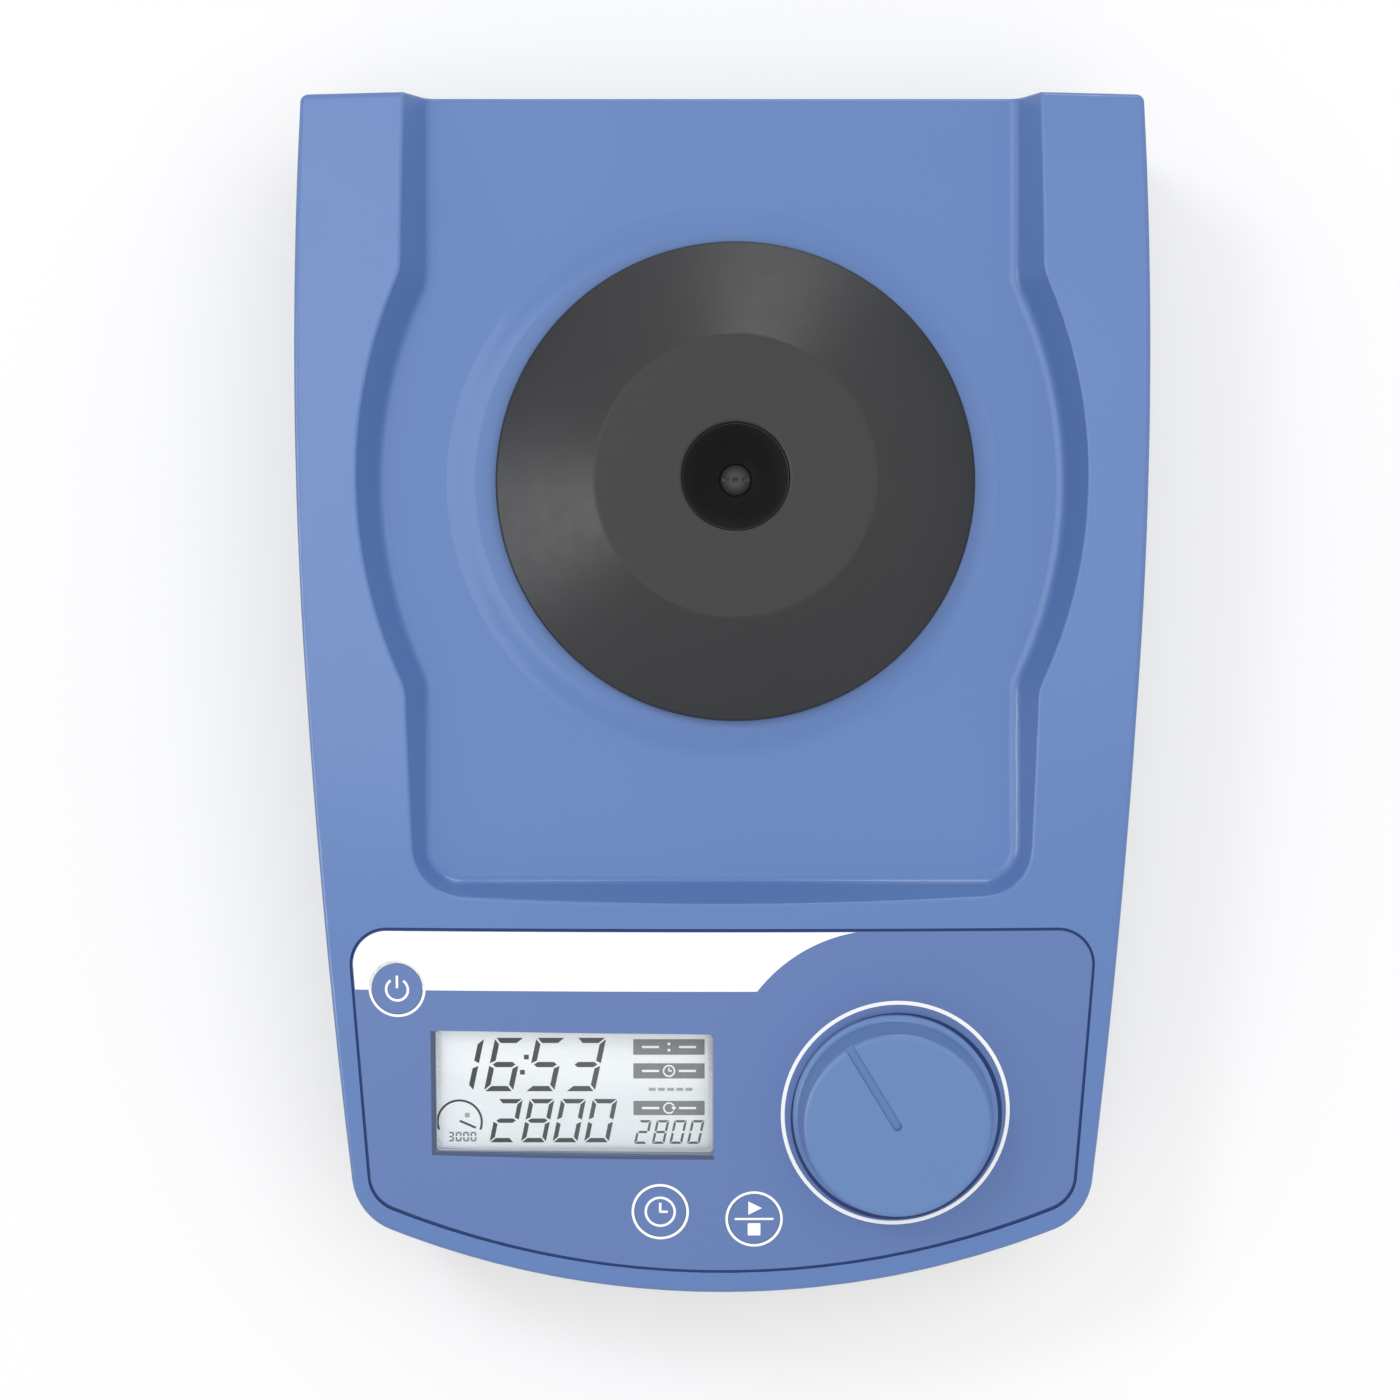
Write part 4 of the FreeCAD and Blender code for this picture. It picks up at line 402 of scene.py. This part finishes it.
# joins loops of points into a closed skin: each row is one loop. The first and last row
# close on their middle, or the rows run round and meet. Its faces turn outwards, which the
# sign of the volume under them tells
def skin(loops, joined=False):
    rows, count = loops.shape[:2]
    index = np.arange(rows * count).reshape(rows, count)
    points = loops.reshape(-1, 3)
    near, far = (index, np.roll(index, -1, 0)) if joined else (index[:-1], index[1:])
    quads = np.stack([near, np.roll(near, -1, 1), np.roll(far, -1, 1), far], -1).reshape(-1, 4)
    fans = np.zeros((0, 3), int)
    if not joined:
        points = np.concatenate([points, loops[[0, -1]].mean(1)])
        first = np.stack([np.roll(index[0], -1), index[0], np.full(count, rows * count)], -1)
        last = np.stack([index[-1], np.roll(index[-1], -1), np.full(count, rows * count + 1)], -1)
        fans = np.concatenate([first, last])
    sides = np.concatenate([quads[:, [0, 1, 2]], quads[:, [0, 2, 3]], fans])
    corner = points[sides] - points.mean(0)
    volume = np.einsum("ij,ij->i", corner[:, 0], np.cross(corner[:, 1], corner[:, 2])).sum()
    if volume < 0:
        quads, fans = quads[:, ::-1], fans[:, ::-1]
    return points, quads, fans


# a line of ink along a path: at each spot a flat oblong across the path's direction
def inkLine(path, width, place, closed=False, thickness=inkDepth):
    path = np.array(path, float)
    ahead = np.roll(path, -1, 0) - np.roll(path, 1, 0) if closed else np.gradient(path, axis=0)
    length = np.hypot(ahead[:, 0], ahead[:, 1])[:, None]
    side = np.stack([-ahead[:, 1], ahead[:, 0]], -1) / length
    left, right = path + side * width / 2, path - side * width / 2
    low, high = thickness
    edges = [(left, low), (left, high), (right, high), (right, low)]
    loops = np.stack([place(spots[:, 0], spots[:, 1], lift) for spots, lift in edges], 1)
    return skin(loops, closed)


# a field of ink: its outline shrunk towards its middle in steps, below and above
def inkField(outline, place, thickness=inkDepth, steps=3):
    outline = np.array(outline, float)
    middle = outline.mean(0)
    shares = np.linspace(1 / steps, 1, steps)
    low, high = thickness
    rows = [(share, low) for share in shares] + [(share, high) for share in shares[::-1]]
    loops = np.stack([place(*(middle + (outline - middle) * share).T, lift)
                      for share, lift in rows])
    return skin(loops)


# spots on an arc of a circle, from one angle to another in degrees
def arc(x, y, radius, start=0, end=360, count=96, withEnd=False):
    angles = np.radians(np.linspace(start, end, count, endpoint=withEnd))
    return np.stack([x + radius * np.cos(angles), y + radius * np.sin(angles)], -1)


# an oblong with round corners: each quarter turn about its own corner's middle
def roundOblong(left, right, low, high, radius, count=7):
    middles = [(right - radius, high - radius, 0), (left + radius, high - radius, 90),
               (left + radius, low + radius, 180), (right - radius, low + radius, 270)]
    return np.concatenate([arc(x, y, radius, turn, turn + 90, count, True)
                           for x, y, turn in middles])


# one object from several skins; it stands at the origin with its place in its mesh
def makePiece(name, skins, material, body):
    starts = np.cumsum([0] + [len(item[0]) for item in skins])
    points = np.concatenate([item[0] for item in skins])
    faces = [face for item, start in zip(skins, starts)
             for part in item[1:] for face in (part + start).tolist()]
    mesh = bpy.data.meshes.new(name)
    mesh.from_pydata(points.tolist(), [], faces)
    mesh.materials.append(material)
    piece = bpy.data.objects.new(name, mesh)
    bpy.context.scene.collection.objects.link(piece)
    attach(piece, body)
    return piece


inkFinishes = {
    # Screen-printed white ink, opaque and matt; its faint glow is painted light
    "white": {"title": "inkWhiteScreened", "colour": "#ffffff", "rough": 0.5, "ior": 1.5,
              "glow": 0.06, "mottle": (20, 0.005), "grain": (0.3, 0.001)},
    # Driven liquid-crystal segments: near black, weaker towards the right
    "segment": {"title": "liquidCrystalDriven", "colour": "#0d0f12", "rough": 0.4, "ior": 1.5,
                "level": 0.2, "fade": (-44, -18, "#484b4f")},
    # Small segments, driven more weakly: dark grey
    "faint": {"title": "liquidCrystalFaint", "colour": "#4a4e52", "rough": 0.4, "ior": 1.5,
              "mottle": (6, 0.08)},
    # The same cell undriven: a grey shadow of a sign
    "ghost": {"title": "liquidCrystalGhost", "colour": "#a3a8ab", "rough": 0.4, "ior": 1.5,
              "mottle": (6, 0.04)},
    # Walls of the opening over the display: pale below, and near the foil a darker band of
    # painted shade
    "wellPale": {"title": "paintWellPale", "colour": "#d3d8dc", "rough": 0.6, "ior": 1.5,
                 "mottle": (6, 0.03)},
    "wellDark": {"title": "paintedShadeWellWall", "colour": "#8c96a6", "rough": 0.6, "ior": 1.5,
                 "mottle": (6, 0.03)},
    # Painted shadow of the opening: a dark line on the foil beside the window
    "foilShadowLine": {"title": "paintedShadowFoilEdge", "colour": "#45526f", "rough": 0.6, "ior": 1.5,
             "mottle": (6, 0.06)},
    # Wide driven fields of the cell: an even mid grey
    "field": {"title": "liquidCrystalField", "colour": "#7b7e81", "rough": 0.4, "ior": 1.5,
              "mottle": (3, 0.05)},
    # Painted shade: deep blue in the narrow gap round the foil and under the knob's skirt
    "gapShade": {"title": "paintedShadeNavy", "colour": "#263f76", "rough": 0.7, "ior": 1.45,
             "mottle": (3, 0.08)},
}
inks = {name: makeFinish(values) for name, values in inkFinishes.items()}

# Where the keys stand, in mm across and up along the panel
keySpots = {"power": (-55.95, 21.04), "time": (-10.7, -17.47), "start": (5.49, -18.74)}

# The white field, in mm: low and rear are its straight edges, half and taper give the foil's
# slanted left side, tip and end are where its bend starts and meets the rear edge, bend is
# the middle and radius of that bend, hole is the radius that stays free for the power key
banner = {
    "low": -50.45, "rear": -40.25, "half": 64.0, "taper": 0.0724, "corner": 5.9,
    "tip": 6.1, "end": 22.9, "bend": (27.4, -66.87, 27), "hole": 4.45,
    "columns": 40, "rows": 12, "least": 0.01,
}
rings = {"knob": (29.83, -0.25), "knobRadius": 19.45, "knobLine": 0.66,
         "keyRadius": 4.72, "keyLine": 0.46}


# the white field, column by column across: its lower edge is the highest of a straight line,
# the foil's slanted side, the power key's ring and a bend that rises to the rear edge
def bannerSkin(values):
    keyX, keyUp = keySpots["power"]
    keyY = onFoil(np.array([keyX]), np.array([keyUp]), 0)[0, 1] / mm
    corner, hole, rear = values["corner"], values["hole"], values["rear"]
    bendX, bendY, bend = values["bend"]
    left = values["taper"] * corner - values["half"]
    stops = [left, left + corner / 3, keyX - hole, keyX + hole, values["tip"], values["end"]]
    spread = (1 - np.cos(np.linspace(0, math.pi, values["columns"]))) / 2
    spans = [low + (high - low) * spread for low, high in zip(stops, stops[1:])]
    x = np.unique(np.concatenate(spans).round(4))
    top = rear - corner + np.sqrt(corner ** 2 - np.clip(left + corner - x, 0, corner) ** 2)
    side = rear - (x + values["half"]) / values["taper"]
    ring = np.sqrt(np.clip(hole ** 2 - (x - keyX) ** 2, 0, None))
    notch = np.where(ring > 0, keyY + ring, values["low"])
    rise = bendY + np.sqrt(bend ** 2 - np.clip(bendX - x, 0, bend) ** 2)
    bottom = np.minimum(np.maximum.reduce([notch, side, rise]), top - values["least"])
    y = bottom + (top - bottom) * np.linspace(0, 1, values["rows"])[:, None]
    under, over = (onPlan(x + 0 * y, y, lift) for lift in inkDepth)
    return skin(np.concatenate([under, over[::-1]]).transpose(1, 0, 2))


def ringOf(spot, radius, width):
    return inkLine(arc(*spot, radius), width, onFoil, closed=True)


foilSkins = [bannerSkin(banner), ringOf(rings["knob"], rings["knobRadius"], rings["knobLine"])]
foilSkins += [ringOf(spot, rings["keyRadius"], rings["keyLine"]) for spot in keySpots.values()]
makePiece("foilPrint", foilSkins, inks["white"], "base")

# The gap round the foil, in mm: corners of its right side, foremost spot of its nose, corner
# radius, width and what the painted shade leaves free of it, and how deep the painted shade lies
gap = {
    "rear": (64.15, -40.15), "front": (60.75, -87.1), "nose": -99.2, "corner": 6,
    "width": 0.5, "slack": 0.04, "depth": (-0.7, -0.28),
    "noseSteps": 41, "noseMargin": 0.5, "steps": 360,
}


# one round corner: points that turn from the end of one side to the start of the next,
# each one corner radius from the middle of the turn
def roundCorner(corner, before, after, radius, count=9):
    corner = np.array(corner, float)
    sides = [np.array(spot, float) - corner for spot in (before, after)]
    start, end = (side / np.hypot(*side) for side in sides)
    half = math.acos(start @ end) / 2
    middle = corner + (start + end) / np.hypot(*(start + end)) * radius / math.sin(half)
    reach = radius / math.tan(half)
    turn = start + (end - start) * np.linspace(0, 1, count)[:, None]
    spots = corner + turn * reach - middle
    return middle + spots / np.hypot(spots[:, 0], spots[:, 1])[:, None] * radius


# a closed path taken in even steps of its length, so that long sides follow the crown too
def evenSteps(path, count):
    path = np.concatenate([path, path[:1]])
    along = np.concatenate([[0], np.cumsum(np.hypot(*np.diff(path, axis=0).T))])
    steps = np.linspace(0, along[-1], count, endpoint=False)
    return np.stack([np.interp(steps, along, path[:, axis]) for axis in (0, 1)], -1)


# the gap's middle line, seen from above: straight sides, round corners and a nose that is
# a wide arc through three points
def foilGap(values):
    out = values["width"] / 2
    rearX, rearY = values["rear"][0] + out, values["rear"][1] + out
    frontX, frontY = values["front"][0] + out, values["front"][1] - out
    nose, radius = values["nose"] - out, values["corner"] + out
    bend = (frontX ** 2 + (frontY - nose) ** 2) / (2 * (frontY - nose))
    x = np.linspace(-frontX, frontX, values["noseSteps"])
    bow = np.stack([x, nose + bend - np.sqrt(bend ** 2 - x ** 2)], -1)
    right = [roundCorner((frontX, frontY), bow[-2], (rearX, rearY), radius),
             roundCorner((rearX, rearY), (frontX, frontY), (-rearX, rearY), radius)]
    left = [turn[::-1] * (-1, 1) for turn in right[::-1]]
    flat = bow[np.abs(bow[:, 0]) < right[0][0, 0] - values["noseMargin"]]
    return evenSteps(np.concatenate([flat] + right + left), values["steps"])


# A deep blue strip in the gap's floor: painted shade
gapShadowSkin = inkLine(foilGap(gap), gap["width"] - gap["slack"], onPlan, True, gap["depth"])
makePiece("foilGapShadow", [gapShadowSkin], inks["gapShade"], "base")

# A painted shadow ring on the foil round the knob's skirt, set towards the lower right where the
# knob's shadow falls, in mm
knobShadow = {"spot": (30.0, -0.85), "radius": 17.7, "width": 1.1, "depth": (-0.05, 0.12)}
ring = inkLine(arc(*knobShadow["spot"], knobShadow["radius"]), knobShadow["width"], onFoil, True, knobShadow["depth"])
makePiece("knobShadowRing", [ring], inks["gapShade"], "base")

# The walls of the opening over the display, in mm: left, right, foot, head and corner of the
# opening, thickness of a band, and the levels between which the bands run. The foot is above
# the cell, the rim below the foil, and the middle halfway between foot and foil
# The upper band is painted shade: the wall darker grey near the foil, where the opening shades it
well = {
    "opening": (-49.45, -1.55, -7.5, 13.9, 0.8), "thick": 0.1, "foot": 2.1, "rim": 0.3,
    "bands": {"wellPale": ("foot", "middle"), "wellDark": ("middle", "rim")},
}


# a thin band on those walls, round the opening's outline from one level to another
def wellBand(values, bottom, top):
    left, right, low, high, radius = values["opening"]
    outer, inner = (roundOblong(left + inset, right - inset, low + inset, high - inset,
                                radius - inset) for inset in (0, values["thick"]))
    room = panel["cellDepth"] - crownSag(*outer.T)
    levels = {"foot": values["foot"] + 0 * room, "middle": (values["foot"] + room) / 2,
              "rim": room - values["rim"]}
    rows = [(outer, bottom), (outer, top), (inner, top), (inner, bottom)]
    return skin(np.stack([onCell(*spots.T, levels[level]) for spots, level in rows]), True)


for name, (bottom, top) in well["bands"].items():
    makePiece(name, [wellBand(well, bottom, top)], inks[name], "base")

# A painted shadow line on the foil beside the window, in mm: place and width of the line at its
# left side and at its foot, and how far each of them runs
edge = {"side": (-49.85, 0.7), "foot": (-7.85, 0.6), "sideEnd": 13.8, "footEnd": -1.4,
        "sideSteps": 9, "footSteps": 25}
(side, sideWidth), (foot, footWidth) = edge["side"], edge["foot"]
sidePath = np.linspace((side, foot - footWidth / 2), (side, edge["sideEnd"]), edge["sideSteps"])
footPath = np.linspace((side, foot), (edge["footEnd"], foot), edge["footSteps"])
makePiece("windowShadowEdge",
          [inkLine(sidePath, sideWidth, onFoil), inkLine(footPath, footWidth, onFoil)],
          inks["foilShadowLine"], "base")

# Plain signs on the keys, in mm from the middle of each key. A sweep is the first and last
# angle of an arc and its number of spots
keySigns = {
    "stroke": 0.42,
    "power": {"drop": -0.15, "radius": 1.9, "sweep": (125, 415, 60),
              "bar": [(0, 0.1), (0, 1.2), (0, 2.3)]},
    "time": {"radius": 2.5, "hands": [[(0, 1.6), (0, 0.7), (0, -0.15)],
                                      [(-0.15, 0), (0.6, 0), (1.3, 0)]]},
    "start": {"line": [(-3.35, 0), (0, 0), (3.35, 0)], "lineShare": 0.9,
              "run": [(-1, 0.75), (1.35, 1.95), (-1, 3.15)],
              "halt": (-1.1, 1.1, -2.95, -0.75, 0.15)},
}
stroke = keySigns["stroke"]

# an open ring and a stroke
sign, (x, up) = keySigns["power"], keySpots["power"]
openRing = arc(x, up + sign["drop"], sign["radius"], *sign["sweep"], True)
bar = np.array(sign["bar"]) + (x, up)
makePiece("powerSign", [inkLine(openRing, stroke, onFoil), inkLine(bar, stroke, onFoil)],
          inks["white"], "power_button")

# a clock face
sign, (x, up) = keySigns["time"], keySpots["time"]
dial = [inkLine(arc(x, up, sign["radius"]), stroke, onFoil, closed=True)]
dial += [inkLine(np.array(hand) + (x, up), stroke, onFoil) for hand in sign["hands"]]
makePiece("timeSign", dial, inks["white"], "time_button")

# run above the line, halt below it
sign, (x, up) = keySigns["start"], keySpots["start"]
left, right, low, high, radius = sign["halt"]
halt = roundOblong(x + left, x + right, up + low, up + high, radius)
makePiece("startSign",
          [inkLine(np.array(sign["line"]) + (x, up), stroke * sign["lineShare"], onFoil),
           inkField(np.array(sign["run"]) + (x, up), onFoil), inkField(halt, onFoil)],
          inks["white"], "start_stop_button")
print("prints on the foil and keys made")

# A dark skin inside the attachment's hollow, in mm. Its skin bends by three spots, each a radius
# and a height over the carrier: lip, bowl and nub. The same moulded rubber, darker than the cone
# and matt: painted shade, so that the hollow looks deep
hollowShade = {
    "node": "touch_attachment", "carrierTop": 51,
    "bend": [(8.98, 10.9), (6.9, 3.6), (2.7, 0.35)], "thick": 0.3, "steps": 28,
    "finish": {"title": "rubberPaintedShade", "colour": "#222224", "rough": 0.5, "ior": 1.5,
               "level": 0.4, "grain": (0.45, 0.008), "mottle": (6, 0.05), "wear": 0.12},
}


# a curve that leaves the first spot towards the second and reaches the third from there
def bendThrough(first, second, third, count):
    share = np.linspace(0, 1, count)[:, None]
    return (1 - share) ** 2 * first + 2 * share * (1 - share) * second + share ** 2 * third


# the profile turned once round the attachment's own axis
def turnProfile(profile, x, y, z, count=64):
    radius, height = profile.T[:, :, None]
    turn = np.linspace(0, 2 * math.pi, count, endpoint=False)
    return np.stack([x + radius * np.cos(turn), y + radius * np.sin(turn),
                     z + height + 0 * turn], -1) * mm


upper = bendThrough(*np.array(hollowShade["bend"]), hollowShade["steps"])
profile = np.concatenate([upper, upper[::-1] - (0, hollowShade["thick"])])
low, high = (np.array(corner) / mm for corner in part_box(hollowShade["node"]))
x, y = (low + high)[:2] / 2
cup = makePiece("cupShadeSkin", [skin(turnProfile(profile, x, y, hollowShade["carrierTop"]), True)],
                makeFinish(hollowShade["finish"]), "platform")
cup.data.shade_smooth()
print("hollow lined")

# Which strokes a numeral has: a top, b and c right, d bottom, e and f left, g middle
strokesOf = {"0": "abcdef", "1": "bc", "2": "abged", "3": "abgcd", "5": "afgcd",
             "6": "afgedc", "8": "abcdefg"}

# What the display shows, in mm across and up along the panel. Each row of numerals has the
# right ends of its numerals, its lower and upper edge, and its slant in degrees. The gauge
# has its middle, radius and sweep, the dashes their left and right end, height and number,
# and a field its left, right, lower and upper edge
display = {
    "clock": {"text": "1653", "rights": (-41.18, -34.25, -27.1, -20.06), "low": 2.3,
              "high": 11.78, "width": 5.05, "stroke": 0.92, "slant": 12.2},
    "speed": {"text": "2800", "rights": (-34.59, -29.11, -23.63, -18.15), "low": -6.82,
              "high": 0.91, "width": 4.3, "stroke": 0.77, "slant": 11.6},
    "target": {"text": "2800", "rights": (-12.25, -9.17, -6.12, -3.06), "low": -7.09,
               "high": -2.87, "width": 2.2, "stroke": 0.4, "slant": 12},
    "limit": {"text": "3000", "rights": (-46.62, -45.3, -44.02, -42.74), "low": -6.65,
              "high": -4.96, "width": 1.0, "stroke": 0.27, "slant": 0},
    "strokeGap": 0.25,                                   # share of a stroke's thickness
    "dots": [(-33.93, 8.37), (-34.63, 5.67)], "dotSize": 0.42,
    "gauge": (-45.6, -3.18, 3.83), "gaugeSweep": (-21, 201, 60), "gaugeLine": 0.38,
    "needle": [(-45.59, -2.97), (-44.2, -3.59), (-42.81, -4.22)],
    "mark": (-44.27, -1.96, 0.42),                       # middle and half its size
    "dashes": (-12.95, -4.97, 2.63, 5), "dashHeight": 0.55, "dashGap": 0.2,
    "boxCorner": 0.12,
    "fields": {"colon": (-15.41, -3.06, 8.78, 11.54), "clock": (-15.41, -3.06, 4.56, 7.26),
               "arrow": (-15.41, -3.06, -1.96, 0.57)},
}


# outlines of a numeral's strokes in its cell, leaned over by the slant
def numeral(sign, right, values):
    w, t, low = values["width"], values["stroke"], values["low"]
    h, lean = values["high"] - low, math.tan(math.radians(values["slant"]))
    half, gap = h / 2, t * display["strokeGap"]
    shapes = {
        "a": [(gap, h), (w - gap, h), (w - gap - t, h - t), (gap + t, h - t)],
        "d": [(gap, 0), (w - gap, 0), (w - gap - t, t), (gap + t, t)],
        "g": [(gap + t / 3, half), (gap + t, half + t / 2), (w - gap - t, half + t / 2),
              (w - gap - t / 3, half), (w - gap - t, half - t / 2), (gap + t, half - t / 2)],
        "f": [(0, h - gap), (t, h - gap - t), (t, half + gap + t / 2), (0, half + gap)],
        "e": [(0, gap), (t, gap + t), (t, half - gap - t / 2), (0, half - gap)],
    }
    shapes["b"] = [(w - x, y) for x, y in shapes["f"]]
    shapes["c"] = [(w - x, y) for x, y in shapes["e"]]
    left = right - w - h * lean
    return [inkField([(left + x + y * lean, low + y) for x, y in shapes[name]], onCell,
                     (0, inkDepth[1])) for name in strokesOf[sign]]


def numerals(values):
    return sum((numeral(sign, right, values)
                for sign, right in zip(values["text"], values["rights"])), [])


def cellLine(path, width, lift=0.0, closed=False):
    return inkLine(path, width, onCell, closed, (lift, lift + inkDepth[1]))


def cellBox(left, right, low, high, lift=0.0):
    outline = roundOblong(left, right, low, high, display["boxCorner"])
    return inkField(outline, onCell, (lift, lift + inkDepth[1]))


dot = display["dotSize"]
driven = numerals(display["clock"]) + numerals(display["speed"])
driven += [cellBox(x - dot, x + dot, y - dot, y + dot) for x, y in display["dots"]]
gauge = arc(*display["gauge"], *display["gaugeSweep"], True)
driven += [cellLine(path, display["gaugeLine"]) for path in (gauge, display["needle"])]
makePiece("cellNumerals", driven, inks["segment"], "base")

makePiece("cellFaint", numerals(display["target"]) + numerals(display["limit"]),
          inks["faint"], "base")

x, up, half = display["mark"]
left, right, height, count = display["dashes"]
spots, pitch = np.linspace(left, right, count + 1), (right - left) / count
tall, free = display["dashHeight"] / 2, display["dashGap"]
ghosts = [cellBox(x - half, x + half, up - half, up + half)]
ghosts += [cellBox(spot + free, spot + pitch - free, height - tall, height + tall)
           for spot in spots[:-1]]
makePiece("cellGhosts", ghosts, inks["ghost"], "base")

makePiece("cellFields", [cellBox(*field) for field in display["fields"].values()],
          inks["field"], "base")

# Plain signs between two dashes in each field, in mm from its middle. A dash has its
# distance, half its width and half its height, a dot of the colon its distance and half its
# size, and lift is the height of the fields that they lie on
fieldSigns = {
    "lift": 0.03, "dash": (3.2, 1.5, 0.2), "colon": (0.55, 0.24),
    "ring": 0.95, "ringLine": 0.26, "handLine": 0.24,
    "hands": [[(0, 0.55), (0, 0.2), (0, -0.1)], [(-0.1, 0), (0.2, 0), (0.5, 0)]],
    "turn": (0.9, 20, 320, 40), "point": [(-0.5, -0.1), (0.45, -0.1), (0, -0.75)],
}


# a colon, a clock, or an arrow that turns
def fieldSign(kind, x, up, values):
    lift, line = values["lift"], values["ringLine"]
    if kind == "colon":
        away, size = values["colon"]
        return [cellBox(x - size, x + size, up + rise - size, up + rise + size, lift)
                for rise in (-away, away)]
    if kind == "clock":
        hands = [cellLine(np.array(hand) + (x, up), values["handLine"], lift)
                 for hand in values["hands"]]
        return [cellLine(arc(x, up, values["ring"]), line, lift, True)] + hands
    turn = arc(x, up, *values["turn"], True)
    point = turn[0] + np.array(values["point"])
    return [cellLine(turn, line, lift), inkField(point, onCell, (lift, lift + inkDepth[1]))]


signs = []
away, halfWidth, halfHeight = fieldSigns["dash"]
for kind, (left, right, low, high) in display["fields"].items():
    x, up = (left + right) / 2, (low + high) / 2
    signs += [cellBox(x + shift - halfWidth, x + shift + halfWidth, up - halfHeight,
                      up + halfHeight, fieldSigns["lift"]) for shift in (-away, away)]
    signs += fieldSign(kind, x, up, fieldSigns)
makePiece("cellSigns", signs, materials["display_plastic"], "base")
print("display drawn")

low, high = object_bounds()
